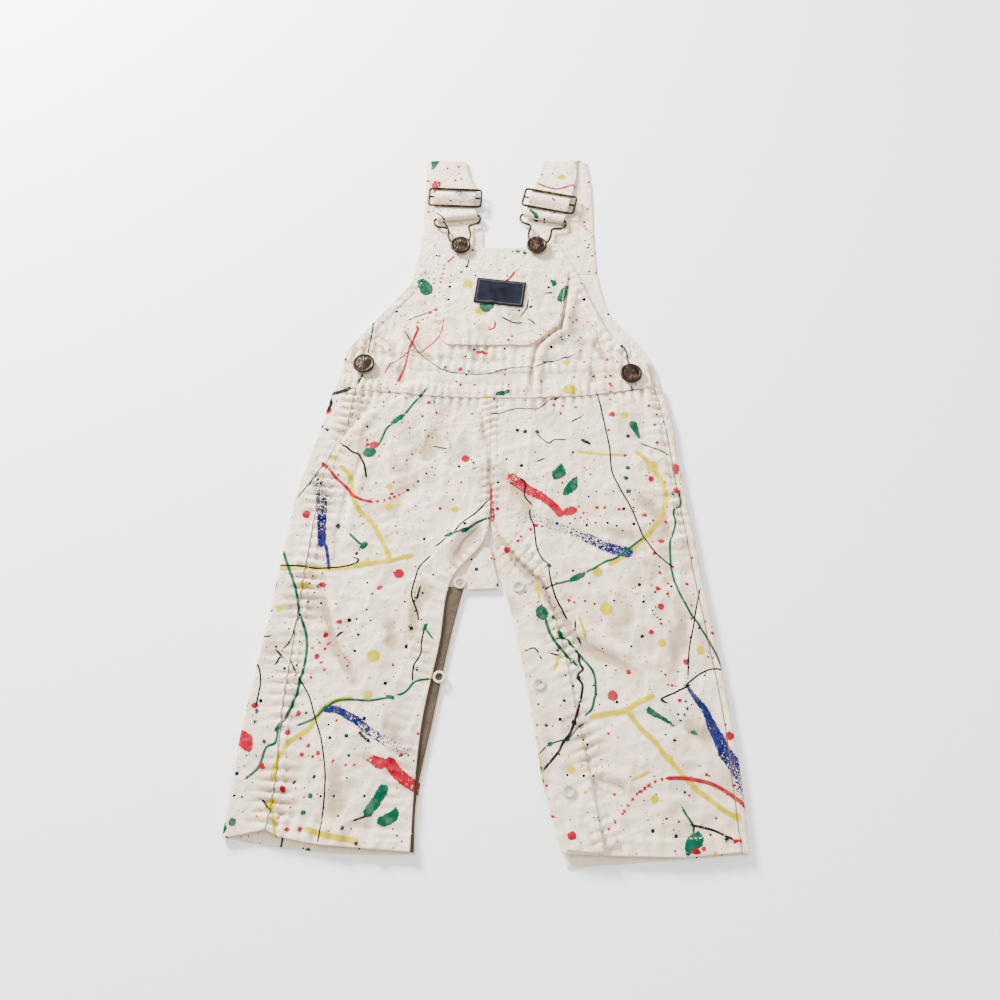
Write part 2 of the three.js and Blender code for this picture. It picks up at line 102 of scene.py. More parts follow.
def mix(a: Array | float, b: Array | float, t: Array | float) -> Array:
    """A blend from a at t = 0 to b at t = 1."""
    return a + (b - a) * t


def rows_at(rows: Sequence[Sequence[float]], t: Array) -> Array:
    """Smooth rows of numbers through rows that are evenly spaced along t.

    Args:
        rows: The rows to pass through.
        t: Places from 0 to 1.

    Returns:
        One row for each place.
    """
    table = np.array(rows, dtype=float)
    place = np.clip(t, 0, 1) * (len(table) - 1)
    i = np.minimum(place.astype(int), len(table) - 2)
    f = (place - i)[:, None]
    before, here = table[np.maximum(i - 1, 0)], table[i]
    after, beyond = table[i + 1], table[np.minimum(i + 2, len(table) - 1)]
    slope_here, slope_after = (after - before) / 2, (beyond - here) / 2
    return (
        here * (1 - 3 * f**2 + 2 * f**3)
        + after * (3 * f**2 - 2 * f**3)
        + slope_here * (f - 2 * f**2 + f**3)
        + slope_after * (f**3 - f**2)
    )


def flowing(points: Sequence[Point], steps: int = 4) -> list[Point]:
    """A path through the same points with its corners rounded.

    Args:
        points: At least two points.
        steps: Short lines for each stretch.

    Returns:
        The points of the rounded path.
    """
    if len(points) < 3:
        return [tuple(p[:2]) for p in points]
    t = np.linspace(0, 1, (len(points) - 1) * steps + 1)
    return [tuple(p) for p in rows_at([p[:2] for p in points], t)]


def nearness(path: Sequence[Point], x: Array, y: Array) -> tuple[Array, Array, Array]:
    """How points lie about a path.

    Args:
        path: The path's points.
        x: The points' X.
        y: The points' Y.

    Returns:
        Their distance to it, the same with a sign for the side, and how far along they are.
    """
    away = np.full(x.shape, FAR)
    side = np.full(x.shape, FAR)
    along = np.zeros(x.shape)
    start = 0.0
    for (ax, ay), (bx, by) in zip(path, path[1:]):
        dx, dy = bx - ax, by - ay
        length = math.hypot(dx, dy)
        if length == 0:
            continue
        t = np.clip(((x - ax) * dx + (y - ay) * dy) / length**2, 0, 1)
        off_x, off_y = x - ax - t * dx, y - ay - t * dy
        gap = np.hypot(off_x, off_y)
        nearer = gap < away
        away[nearer] = gap[nearer]
        side[nearer] = (np.sign(dx * off_y - dy * off_x) * gap)[nearer]
        along[nearer] = (start + t * length)[nearer]
        start += length
    return away, side, along


def path_length(path: Sequence[Point]) -> float:
    """The length of a path."""
    return sum(math.dist(a[:2], b[:2]) for a, b in zip(path, path[1:]))


def within(path: Sequence[Point], x: Array, y: Array, reach: float) -> Array:
    """The indices of the points in a path's box, grown by reach."""
    xs, ys = [p[0] for p in path], [p[1] for p in path]
    inside = (x > min(xs) - reach) & (x < max(xs) + reach)
    inside &= (y > min(ys) - reach) & (y < max(ys) + reach)
    return np.nonzero(inside)[0]


def placed(origin: Point, lean: float, x: float, y: float) -> Point:
    """A point of a frame that leans by `lean` degrees, anticlockwise, about its origin."""
    a = math.radians(lean)
    return (
        origin[0] + x * math.cos(a) - y * math.sin(a),
        origin[1] + x * math.sin(a) + y * math.cos(a),
    )


# ---- the form of the front ------------------------------------------------------------------


@dataclass(frozen=True)
class Valley:
    """A seam line that dips to its lowest point and rises smoothly by its reach at each side."""

    lowest: Point
    reach: float
    left: float
    right: float

    def __call__(self, x: Array | float) -> Array:
        """The line's Y at x."""
        rise = np.where(np.asarray(x) < self.lowest[0], self.left, self.right)
        return self.lowest[1] + rise * ((np.asarray(x) - self.lowest[0]) / self.reach) ** 2

    def path(self, x0: float, x1: float, lift: float = 0.0, steps: int = 24) -> list[Point]:
        """Points along the line from x0 to x1, moved up by lift."""
        return [(x, float(self(x)) + lift) for x in np.linspace(x0, x1, steps + 1)]


WAIST_SEAM = Valley((20, 41.5), 110, 7, 12)
BIB_SEAM = Valley((15, 71.5), 110, 9, 3)

BIB_TOP = [(-46, 181), (-21, 178), (-4, 174), (28, 174.5), (52, 178)]
LEFT_HEM = [(-124, -242), (-116, -246), (-94, -250), (-42, -254)]
RIGHT_HEM = [(42, -254.5), (70, -256), (112, -257), (145, -254)]


def line_at(points: Sequence[Point], x: Array) -> Array:
    """The height at x of a line through points, level past its ends."""
    return np.interp(x, [p[0] for p in points], [p[1] for p in points])


@dataclass(frozen=True)
class Crease:
    """A soft ridge, or a trough where its rise is negative, that fades out at its ends."""

    path: Sequence[Point]
    reach: float
    rise: float
    fade: float = 0.3

    def add_to(self, height: Array, x: Array, y: Array) -> None:
        """Adds the crease to the heights of points."""
        near = within(self.path, x, y, 2.6 * self.reach)
        away, _, along = nearness(self.path, x[near], y[near])
        length = path_length(self.path)
        ends = np.ones(len(near))
        if self.fade:
            to_end = np.minimum(along, length - along) / (self.fade * length)
            ends = 0.15 + 0.85 * smooth(to_end)
        height[near] += self.rise * ends * np.exp(-((away / self.reach) ** 2))


@dataclass(frozen=True)
class Pucker:
    """Small ridges that cross a line of stitching where it draws the cloth in."""

    path: Sequence[Point]
    reach: float
    pitch: float
    rise: float
    lean: float = 0.0

    def add_to(self, height: Array, x: Array, y: Array) -> None:
        """Adds the ridges to the heights of points."""
        near = within(self.path, x, y, 2.4 * self.reach)
        away, side, along = nearness(self.path, x[near], y[near])
        at = along + self.lean * side
        wobble = 1.7 * np.sin(at / (2.3 * self.pitch)) + 1.1 * np.sin(at / (3.9 * self.pitch))
        ridges = np.sin(2 * math.pi * at / self.pitch + wobble)
        strength = 0.65 + 0.35 * np.sin(at / (1.6 * self.pitch))
        height[near] += self.rise * strength * ridges * np.exp(-((away / self.reach) ** 2))


@dataclass(frozen=True)
class Band:
    """A raised band along a path, as a turned hem or a felled seam makes."""

    path: Sequence[Point]
    half: float
    rise: float
    edge: float = 1.1

    def add_to(self, height: Array, x: Array, y: Array) -> None:
        """Adds the band to the heights of points."""
        near = within(self.path, x, y, self.half + self.edge)
        away, _, _ = nearness(self.path, x[near], y[near])
        height[near] += self.rise * (1 - smooth((away - self.half) / self.edge))


@dataclass(frozen=True)
class Groove:
    """The narrow valley that a row of stitches pulls into the cloth."""

    path: Sequence[Point]
    depth: float = 0.22
    reach: float = 0.9

    def add_to(self, height: Array, x: Array, y: Array) -> None:
        """Adds the groove to the heights of points."""
        near = within(self.path, x, y, 2.5 * self.reach)
        away, _, _ = nearness(self.path, x[near], y[near])
        height[near] -= self.depth * np.exp(-((away / self.reach) ** 2))


Feature = Crease | Pucker | Band | Groove

# The swellings and folds that the solids have too, with no fading ends.
SWELLINGS = [
    Crease([(-62, -70), (-80, -225)], 24, 1.2, 0),
    Crease([(88, -70), (104, -225)], 24, 1.2, 0),
    Crease([(-60, 10), (-48, -40)], 28, 1.1, 0),
    Crease([(64, 10), (62, -40)], 28, 1.1, 0),
    Crease([(-30, 108), (30, 112)], 22, 1.0, 0),
    Crease([(58, 140), (52, 104), (34, 84), (29, 50)], 5, 0.8, 0),
    Crease([(-80, 38), (-100, 10)], 6, -1.0, 0),
    Crease([(-84, 5), (-97, -76)], 6, -1.0, 0),
    Crease([(10, -62), (34, -94), (58, -134)], 5, 0.7, 0),
    Crease([(58, -205), (92, -232)], 6, -0.8, 0),
]
LEAN_ROOM = 0.15  # added at the waist seam, where the folds lean its edges together
SEAM_STITCH = 1.6  # from the middle of a double-stitched seam to each of its rows
CENTRE_LINE = [(CENTRE_SEAM, 41), (CENTRE_SEAM, 0), (CENTRE_SEAM, -45), (1.5, -66)]
LEFT_SIDE_LINE = [
    (-92, 49), (-97, 17), (-106, -3), (-111, -32), (-114, -66),
    (-116.5, -96), (-119, -134), (-121.5, -177), (-121.5, -214), (-124, -242),
]
RIGHT_SIDE_LINE = [(116, 50), (119, 18), (121.5, -8), (124, -36), (127.5, -66)]
PLACKET_EDGE = [(12.5, -66), (34, -90), (47, -131), (55, -176), (63, -222), (68, -254)]
PLACKET_INNER = [(10, -74), (16, -95), (24.3, -131), (32.8, -176), (39.8, -222), (48, -252)]
TAPE_EDGE = [(-7, -74), (-27, -96), (-36, -131), (-46, -182), (-53, -222), (-54, -250)]
LEFT_ARMHOLE = [(-100, 82), (-88, 100), (-75, 117), (-62, 134), (-52, 150), (-48, 166), (-46, 181)]
RIGHT_ARMHOLE = [(112, 74), (90, 90), (81, 108), (74, 126), (67, 146), (59, 164), (52, 178)]


def shifted(path: Sequence[Point], by: float) -> list[Point]:
    """The path moved sideways by a distance, to its left where that is positive."""
    points = np.array([p[:2] for p in path], dtype=float)
    run = np.gradient(points, axis=0)
    run /= np.linalg.norm(run, axis=1)[:, None]
    return [tuple(p) for p in points + by * np.column_stack([-run[:, 1], run[:, 0]])]


FOLD_WIDTH = 1.25  # of every crease's reach

# The creases of the front, each a path, its reach and its rise.
FOLDS = [
    # Beside the pocket, from the bib's armhole down to the waistband.
    ([(59, 140), (53, 103), (50, 99), (40, 90), (34, 80), (29, 48)], 1.5, -1.3),
    ([(62, 138), (56, 103), (53, 97), (43, 87), (37, 78), (32, 50)], 3.2, 1.0),
    ([(-60, 100), (-50, 82), (-35, 70)], 2.0, -0.9),
    ([(-66, 103), (-56, 80), (-40, 66)], 3.0, 0.7),
    ([(-84, 96), (-72, 84), (-66, 72)], 2.4, -0.7),
    ([(84, 96), (78, 86), (82, 76)], 2.4, -0.6),
    ([(-14, 84), (-8, 76), (-10, 70)], 2.2, -0.5),
    ([(10, 150), (30, 147), (46, 149)], 3.0, -0.4),
    # Centre front and crotch.
    ([(-10, 40), (-2, 18), (2, -12), (2, -50)], 2.2, -0.7),
    ([(2, -48), (11, -65), (19, -80), (34, -95), (41, -108), (49, -118), (57, -134)], 1.8, -1.5),
    ([(6, -46), (16, -62), (25, -77), (40, -92), (48, -106), (56, -116)], 3.6, 1.0),
    ([(-2, -52), (-14, -66), (-22, -82)], 2.4, -0.9),
    ([(-6, -48), (-19, -60), (-29, -76)], 3.5, 0.7),
    ([(12, -20), (24, -34), (30, -52)], 3.0, -0.5),
    # Right leg.
    ([(50, -120), (62, -135), (90, -150)], 2.4, -1.0),
    ([(52, -116), (66, -130), (94, -144)], 3.6, 0.8),
    ([(60, -214), (70, -218), (84, -222)], 2.2, -0.9),
    ([(58, -208), (72, -211), (88, -216)], 3.0, 0.7),
    ([(96, -30), (110, -44), (122, -64)], 3.5, -0.6),
    ([(128, -110), (118, -134), (112, -156)], 4.0, -0.6),
    ([(104, -176), (122, -186), (140, -190)], 3.5, -0.5),
    ([(70, -52), (84, -60), (100, -62)], 3.5, -0.5),
    # Left hip and leg.
    ([(-80, 40), (-84, 33), (-94, 20), (-101, 9)], 1.7, -1.1),
    ([(-77, 36), (-80, 28), (-90, 15), (-97, 3)], 3.0, 0.9),
    ([(-82, 5), (-91, -30), (-94, -49), (-97, -78)], 1.9, -1.1),
    ([(-78, 4), (-87, -30), (-90, -49), (-93, -76)], 3.4, 0.9),
    ([(-103, -100), (-97, -120), (-92, -135), (-85, -147), (-78, -160)], 2.2, -1.1),
    ([(-99, -98), (-93, -118), (-88, -132), (-80, -145)], 3.5, 0.8),
    ([(-60, -115), (-58, -140)], 3.0, -0.6),
    ([(-87, -210), (-84, -240)], 3.0, -0.7),
    ([(-50, -20), (-60, -36), (-60, -56)], 3.6, -0.5),
    ([(-34, -92), (-44, -112), (-46, -136)], 3.0, -0.6),
    ([(-66, -178), (-54, -190), (-48, -206)], 3.6, -0.5),
    ([(-30, 24), (-40, 8), (-42, -10)], 3.6, -0.4),
    # Waistband.
    ([(30, 41), (31, 56), (30, 71)], 1.7, -0.8),
    ([(34, 42), (35, 56), (34, 70)], 2.0, 0.7),
    ([(-62, 45), (-60, 58), (-63, 74)], 1.8, -0.6),
    ([(70, 46), (73, 58), (72, 73)], 1.8, -0.5),
]


def double_rows(path: Sequence[Point]) -> list[list[Point]]:
    """The two stitch rows of a double-stitched seam."""
    return [shifted(path, SEAM_STITCH), shifted(path, -SEAM_STITCH)]


# Every row of stitching on the front, as paths on the cloth.
WAIST_ROWS = [
    WAIST_SEAM.path(-100, 113, 1.8),
    WAIST_SEAM.path(-98, 112, 10),
    BIB_SEAM.path(-98, 110, -1.8),
    BIB_SEAM.path(-97, 109, -9),
    BIB_SEAM.path(-96, 106, 1.8),
    WAIST_SEAM.path(-90, 114, -1.8),
]
BIB_ROWS = [
    [(x, y - 3) for x, y in flowing(BIB_TOP)],
    [(x, y - 9) for x, y in flowing(BIB_TOP)],
    shifted(flowing(LEFT_ARMHOLE), -6.5),
    shifted(flowing(RIGHT_ARMHOLE), 6.5),
]
LEG_ROWS = [
    *double_rows(CENTRE_LINE),
    [(x, y + 10) for x, y in LEFT_HEM],
    [(x, y + 10) for x, y in RIGHT_HEM],
    shifted(flowing(LEFT_SIDE_LINE), 1.8),
    shifted(flowing(RIGHT_SIDE_LINE), -1.2),
    shifted(flowing(RIGHT_SIDE_LINE), -7.5),
]


def front_features() -> list[Feature]:
    """All that shapes the front: folds, puckers, turned hems and what stitching pulls in."""
    features: list[Feature] = [
        Crease(flowing(path), FOLD_WIDTH * reach, rise) for path, reach, rise in FOLDS
    ]
    features += [
        Band(CENTRE_LINE, 3.2, 0.35),
        Band(WAIST_SEAM.path(-104, 116, 5.5), 4.6, 0.35),
        Band(BIB_SEAM.path(-102, 112, -5), 4.0, 0.3),
        Band([(x, y - 6) for x, y in BIB_TOP], 4.2, 0.3),
        Band(shifted(LEFT_ARMHOLE, -3.4), 3.0, 0.3),
        Band(shifted(RIGHT_ARMHOLE, 3.4), 3.0, 0.3),
        Band([(x, y + 5) for x, y in LEFT_HEM], 5.0, 0.35),
        Band([(x, y + 5) for x, y in RIGHT_HEM], 5.0, 0.35),
        Band(shifted(LEFT_SIDE_LINE, 2.0), 2.2, 0.3),
        Band(shifted(RIGHT_SIDE_LINE, -4.5), 3.2, 0.3),
    ]
    features += [Groove(flowing(path)) for path in WAIST_ROWS + BIB_ROWS + LEG_ROWS]
    features += [
        Pucker(WAIST_SEAM.path(-102, 114, -3), 6, 6.5, 0.30),
        Pucker(WAIST_SEAM.path(-102, 114, 6), 5, 5.2, 0.26),
        Pucker(BIB_SEAM.path(-98, 110, -4), 5, 6.0, 0.26),
        Pucker(BIB_SEAM.path(-98, 108, 4), 6, 7.5, 0.28),
        Pucker(CENTRE_LINE, 6, 5.5, 0.30, 0.3),
        Pucker(flowing(LEFT_SIDE_LINE), 11, 6.5, 0.58),
        Pucker(flowing(RIGHT_SIDE_LINE), 6, 7.0, 0.28),
        Pucker([(x, y + 6) for x, y in LEFT_HEM], 7, 9.0, 0.30),
        Pucker([(x, y + 6) for x, y in RIGHT_HEM], 7, 8.0, 0.36, 0.4),
        Pucker(flowing(PLACKET_EDGE), 9, 6.2, 0.42, 0.2),
        Pucker(flowing(TAPE_EDGE), 8, 6.2, 0.30),
        Pucker([(-29, 85), (30, 85)], 5, 6.5, 0.24),
        Pucker([(-34, 92), (-32, 154)], 5, 7.5, 0.22),
        Pucker([(30, 85), (53, 106), (58, 152)], 5, 6.5, 0.26),
        Pucker(shifted(LEFT_ARMHOLE, -5), 5, 7.0, 0.26),
        Pucker(shifted(RIGHT_ARMHOLE, 5), 5, 7.0, 0.26),
        Pucker([(x, y - 6) for x, y in BIB_TOP], 5, 7.5, 0.20),
    ]
    return features


FEATURES = front_features()
LOWEST_BIB = WALL + 0.12 + WALL / 2  # the bib's middle stays above the back bib
TRIM_SPAN = 1.1  # a sewn-on piece clears the highest cloth within this distance
TRIM_LOOKS = 8
HOOK_ROOM = 0.2  # how far the bib's middle may rise beneath the hooks
HOOK_Y = 162.0  # above this the hooks lie over the bib
HOOK_EASE = 8.0  # the stretch below it over which the limit sets in
UNHELD = 4.0  # how far the limit lies above the hooks' one where no hook is near
BIB_START, BIB_RUN = 70.0, 70.0  # where the front starts to sink to the bib's level, and its run
TOP_START, TOP_RUN = 130.0, 30.0  # where folds start to fade towards the bib's top, and their run
TOP_SHARE = 0.4  # the share of the folds that is left there

# The back lies on the surface, so its folds are pressed up from below, into the garment.
BACK_FOLDS = [
    ([(-30, 30), (-70, 12), (-108, 18)], 6, 0.7),
    ([(30, 28), (72, 10), (112, 16)], 6, 0.7),
    ([(-6, -20), (-44, -58), (-96, -84)], 7, 0.8),
    ([(10, -22), (52, -62), (112, -80)], 7, 0.8),
    ([(-120, -120), (-84, -150), (-62, -190)], 7, 0.7),
    ([(122, -118), (90, -152), (74, -196)], 7, 0.7),
    ([(-96, -200), (-84, -222), (-80, -246)], 6, 0.6),
    ([(-60, 70), (-20, 62), (26, 74), (84, 66)], 5, 0.45),
    ([(-40, 124), (4, 96), (52, 120)], 6, 0.40),
]
BACK_FEATURES: list[Feature] = [Crease(flowing(path), reach, rise) for path, reach, rise in BACK_FOLDS]
BACK_FEATURES += [
    Pucker(CENTRE_LINE, 6, 6.0, 0.28),
    Pucker(WAIST_SEAM.path(-98, 110, 0), 7, 6.5, 0.30),
]
HIGHEST_LIFT = 0.8
LIFT_ENDS = (112.0, 134.0)  # the back's folds fade between these, and it lies flat above them

# The front rests on the snap tape and on the flap: their middle lines, how far to each side
# they hold it up, and the least height of the front's middle there.
REST_GAP = 0.1
STITCH_ROOM = 0.3  # for the tape's own stitches
TAPE_REST = ([(-47, -254), (-46.5, -222), (-39, -182), (-29, -131), (-20, -95)], 9.0, 16.0,
             TAPE_LEVEL + TRIM_WALL / 2 + REST_GAP + STITCH_ROOM + WALL / 2)
FLAP_REST = ([(-2, -98), (0, -70)], 12.0, 19.0, FLAP_LEVEL + TRIM_WALL / 2 + REST_GAP + WALL / 2)


LABEL_CENTRE = (8.5, 131.0)
LABEL_LEAN = -7.0
LABEL_HALF = (18.2, 11.3)

# Where the cloth lies calm, under the buttons and snaps, and how far around them.
CALM_PLACES = [(-21, 174), (36, 174), (-87, 68), (100, 60), (20, -97), (32, -159), (48, -221)]
CALM_REACH = 6.5
RELIEF = 2.75  # the folds' strength
DEEPEST = 1.6  # how far a fold may sink before it meets the cloth beneath
CREASE_SHADE_TOP = NECKLINE + 24  # folds above this, on the straps, get no painted shade
UNDERSIDE_SHADE = 1.4  # how much more painted shade the underside's folds get for their depth
CRUMPLES = 11
CRUMPLE_RISE = 0.55


def rumple(x: Array, y: Array) -> Array:
    """The unevenness of washed cloth: a few long waves, and creases that cross each other."""
    waves = ((31, 12, 0.4, 0.16), (-17, 27, 1.9, 0.15), (12, -19, 3.1, 0.10), (9, 13, 5.2, 0.07))
    height = sum(r * np.sin(x / lx + y / ly + start) for lx, ly, start, r in waves)
    chance = np.random.default_rng(11)
    for _ in range(CRUMPLES):
        angle, length, start = chance.uniform(0, math.pi), chance.uniform(16, 46), chance.uniform(0, 6)
        bend, patchy = chance.uniform(20, 60), chance.uniform(14, 34)
        run = x * math.cos(angle) + y * math.sin(angle)
        side = -x * math.sin(angle) + y * math.cos(angle)
        phase = math.pi * run / length + 1.3 * np.sin(side / bend + start) + start
        here = smooth(0.5 + 0.9 * np.sin(side / patchy + 2 * start + run / 40))
        height = height + CRUMPLE_RISE * here * ((1 - np.abs(np.sin(phase))) ** 3 - 0.2)
    return height


def front_relief(x: Array, y: Array) -> Array:
    """How far folds, puckers and seams lift the front cloth, or sink it where negative."""
    relief = np.zeros(x.shape)
    for feature in FEATURES:
        feature.add_to(relief, x, y)
    relief = RELIEF * relief + rumple(x, y)
    for cx, cy in CALM_PLACES:
        relief *= 1 - np.exp(-((np.hypot(x - cx, y - cy) / CALM_REACH) ** 4))
    relief = np.where(relief < 0, -DEEPEST * np.tanh(-relief / DEEPEST), relief)
    return relief * (TOP_SHARE + (1 - TOP_SHARE) * (1 - smooth((y - TOP_START) / TOP_RUN)))


def closeness(path: Sequence[Point], near: float, far: float, x: Array, y: Array) -> Array:
    """1 within a near distance of a path, falling to 0 at a far one."""
    away, _, _ = nearness(path, x, y)
    return 1 - smooth((away - near) / (far - near))


def back_lift(x: Array, y: Array) -> Array:
    """How far the back cloth is pressed up from the surface: not at all beneath tape and flap."""
    shape = np.shape(x)
    x, y = np.ravel(np.asarray(x, float)), np.ravel(np.asarray(y, float))
    lift = np.zeros(x.shape)
    for feature in BACK_FEATURES:
        feature.add_to(lift, x, y)
    lift = HIGHEST_LIFT * np.tanh(np.maximum(lift, 0) / HIGHEST_LIFT)
    lift *= 1 - smooth((y - LIFT_ENDS[0]) / (LIFT_ENDS[1] - LIFT_ENDS[0]))
    for middle, near, far, _ in (TAPE_REST, FLAP_REST):
        lift *= 1 - closeness(middle, near, far, x, y)
    return lift.reshape(shape)


def back_height(x: Array, y: Array) -> Array:
    """The middle of the back cloth above points."""
    return BACK_LEVEL + back_lift(x, y)


def front_height(x: Array, y: Array) -> Array:
    """The middle of the front cloth above points."""
    shape = np.shape(x)
    x, y = np.ravel(np.asarray(x, float)), np.ravel(np.asarray(y, float))
    base = mix(LEG_LEVEL, BIB_LEVEL, smooth((y - BIB_START) / BIB_RUN))
    swell = np.zeros(x.shape)
    for swelling in SWELLINGS:
        swelling.add_to(swell, x, y)
    height = base + swell * (1 - smooth((y - TOP_START) / TOP_RUN)) + front_relief(x, y)
    height = np.maximum(height, LOWEST_BIB + back_lift(x, y))
    for middle, near, far, rest in (TAPE_REST, FLAP_REST):
        held = LOWEST_BIB + (rest - LOWEST_BIB) * closeness(middle, near, far, x, y)
        height = np.maximum(height, held)
    ceiling = BIB_LEVEL + HOOK_ROOM + UNHELD * (1 - smooth((y - HOOK_Y + HOOK_EASE) / HOOK_EASE))
    return np.minimum(height, ceiling).reshape(shape)


def height_at(x: float, y: float) -> float:
    """The middle of the front cloth above one point."""
    return float(front_height(np.array([x]), np.array([y]))[0])


def on_front(x: Array, y: Array) -> Array:
    """The middle of a trim piece sewn onto the front: it spans the front's small troughs."""
    highest = front_height(x, y)
    for k in range(TRIM_LOOKS):
        a = 2 * math.pi * k / TRIM_LOOKS
        highest = np.maximum(highest, front_height(x + TRIM_SPAN * math.cos(a), y + TRIM_SPAN * math.sin(a)))
    return highest + WALL / 2 + PLY_GAP + TRIM_WALL / 2


def on_pocket(x: Array, y: Array) -> Array:
    """The middle of what is sewn onto the pocket."""
    return on_front(x, y) + TRIM_WALL + GAP


def level(height: float) -> Field:
    """A flat field at one height."""
    return lambda x, y: np.full(np.shape(x), height)


# ---- the print ------------------------------------------------------------------------------


class Paint(Enum):
    """The paints that are spattered on the cloth, and their colours in linear light."""

    YELLOW = (0.50, 0.395, 0.0)
    BLUE = (0.006, 0.009, 0.080)
    GREEN = (0.0, 0.060, 0.031)
    RED = (0.29, 0.001, 0.014)
    INK = (0.005, 0.005, 0.010)


@dataclass(frozen=True)
class Mark:
    """One mark of paint: a filled spot or patch, a brush stroke, or a fine line.

    Fields:
        paint: The mark's paint.
        path: Its points.
        half: Half its width at its start and end, for a stroke or line.
        dry: How dry the brush is at its start and end, from 0 to 1.
        shape: spot, patch, stroke or line.
        size: A spot's radii and its lean in degrees.
    """

    paint: Paint
    path: Sequence[Point]
    half: tuple[float, float] = (0.0, 0.0)
    dry: tuple[float, float] = (0.0, 0.0)
    shape: str = "stroke"
    size: tuple[float, float, float] = (1.0, 1.0, 0.0)


def dots(paint: Paint, radius: float, *centres: Point) -> list[Mark]:
    """Round drops of one size."""
    return [Mark(paint, [c], shape="spot", size=(radius, radius, 0)) for c in centres]


def spot(paint: Paint, x: float, y: float, long: float, wide: float, lean: float = 0) -> Mark:
    """An oval drop with its two radii."""
    return Mark(paint, [(x, y)], shape="spot", size=(long, wide, lean))


def line(paint: Paint, *points: Point, width: float = 0.9) -> Mark:
    """A fine line of paint through points."""
    return Mark(paint, flowing(points, 3), (width / 2, width / 2), shape="line")


def stroke(
    paint: Paint, *points: Point, half: tuple[float, float], dry: tuple[float, float] = (0, 0)
) -> Mark:
    """A brush stroke through points."""
    return Mark(paint, flowing(points, 3), half, dry)


def patch(paint: Paint, *points: Point) -> Mark:
    """A filled patch inside an outline."""
    return Mark(paint, flowing([*points, points[0]], 3), shape="patch")


R, G, B, Y, K = Paint.RED, Paint.GREEN, Paint.BLUE, Paint.YELLOW, Paint.INK

ON_LEFT_STRAP = [
    patch(G, (-46, 260), (-39, 260), (-45, 250)),
    patch(R, (-45, 239), (-38, 238), (-38, 232), (-43, 229)),
    *dots(K, 1.0, (-26, 239.5), (-21.5, 241), (-33, 252), (-29, 213)),
    *dots(R, 1.3, (-46.5, 210), (-24, 254)),
    stroke(B, (-23, 224), (-16, 221), (-9, 217), half=(4, 4), dry=(0.5, 0.7)),
    line(K, (-40, 205), (-33, 198), (-30, 190)),
]
ON_RIGHT_STRAP = [
    line(R, (38, 236.5), (44, 233), (52, 230.5), (58, 232), (63, 234), (67, 235), width=1.4),
    *dots(K, 1.1, (41, 246), (76, 178), (75, 175.5), (80, 170), (75, 153), (80, 152)),
    stroke(G, (32, 208), (36.5, 201.5), half=(1.6, 1.6)),
    *dots(R, 1.2, (50, 216), (50, 206), (73, 200), (73, 196), (74, 193), (76, 213), (78, 240)),
    *dots(Y, 3.0, (57, 243)),
    line(K, (38, 187), (34, 182)),
]
ON_BIB = [
    *dots(Y, 3.8, (-56, 157), (-15, 139), (-6, 115)),
    patch(G, (-53, 143), (-48, 145), (-42, 140), (-41, 133), (-45, 130), (-50, 133)),
    *dots(G, 0.9, (-50, 148), (-44, 146), (-40, 145), (-47, 150)),
    line(R, (-26, 166), (-30, 161), width=1.3),
    *dots(R, 1.0, (-30, 161), (-33, 158), (-33, 154), (-34, 150), (-34.5, 146), (-35, 142)),
    *dots(R, 0.9, (-36, 137), (-36, 133)),
    *dots(K, 1.1, (-37, 166.5), (-56, 157), (-12, 172), (8, 152.5), (22, 153), (-20, 150)),
    line(K, (-15, 162), (-16, 155)),
    *dots(G, 1.7, (22, 170.5), (27, 169)),
    line(R, (19, 150), (16, 145), (13, 142), width=1.4),
    patch(G, (45, 144), (50, 142), (50, 138), (47, 137)),
    patch(G, (59, 139), (54, 135), (51, 129), (50, 124), (54, 122), (57, 128)),
    stroke(G, (42, 131), (46, 131), half=(0.9, 0.9)),
    *dots(K, 1.0, (48, 127), (29, 107), (-13.5, 63.5)),
    patch(G, (-7, 121), (4, 121), (3, 116), (-1, 113), (-5, 115)),
    *dots(K, 1.4, (-29, 125), (31, 118), (79, 140)),
    line(K, (29, 124), (28, 117), (24, 111)),
    line(K, (33, 104), (31, 106)),
    line(K, (11, 108), (15, 105.5), (19, 104), (24, 104), width=1.1),
    *dots(R, 1.7, (-38, 116.5), (-42, 114), (-19.5, 65)),
    *dots(R, 1.0, (-44, 109), (-47, 108), (-50, 105), (58.5, 108), (64, 108), (72, 106)),
    line(K, (-57, 108), (-44, 114)),
    line(
        R, (-51, 101), (-50.5, 98), (-54, 88.6), (-56, 79.7), (-58, 69), (-60.5, 62), (-62.5, 56),
        width=1.5,
    ),
    line(
        R, (-32, 107), (-33, 97), (-37, 90), (-43, 84), (-48, 80), (-56, 79), (-62, 74),
        (-66, 71), (-69, 69), (-72, 63), width=0.9,
    ),
    line(
        K, (-60, 98), (-55, 90), (-49, 80), (-42, 73), (-34, 66), (-20, 62), (0, 61.5), (13, 65),
        (27, 66.5), (35, 66.5), (42, 71), (50, 73), (60, 77), width=0.7,
    ),
    *dots(G, 1.3, (-30, 66.5)),
    stroke(G, (39, 70.5), (46, 72), half=(1, 0.8)),
    stroke(R, (-7, 80), (-1, 79), half=(1.4, 1.2)),
    line(R, (1, 98), (4.5, 99), (5, 103), width=1.3),
    *dots(R, 1.2, (17, 92), (14.5, 88.5)),
    stroke(B, (50, 92), (60, 90), (75, 88), half=(2, 2), dry=(0.6, 0.85)),
    stroke(Y, (86, 118), (92, 108), (98, 100), half=(4, 3), dry=(0.1, 0.3)),
    *dots(R, 1.8, (85.5, 118)),
    line(K, (-82, 112), (-83, 100), (-85, 80)),
    line(G, (95, 87), (98, 80), (99, 67), width=1.1),
    line(G, (-88, 60), (-90, 54), width=1.6),
    line(G, (100, 50), (102, 43), width=1.6),
]
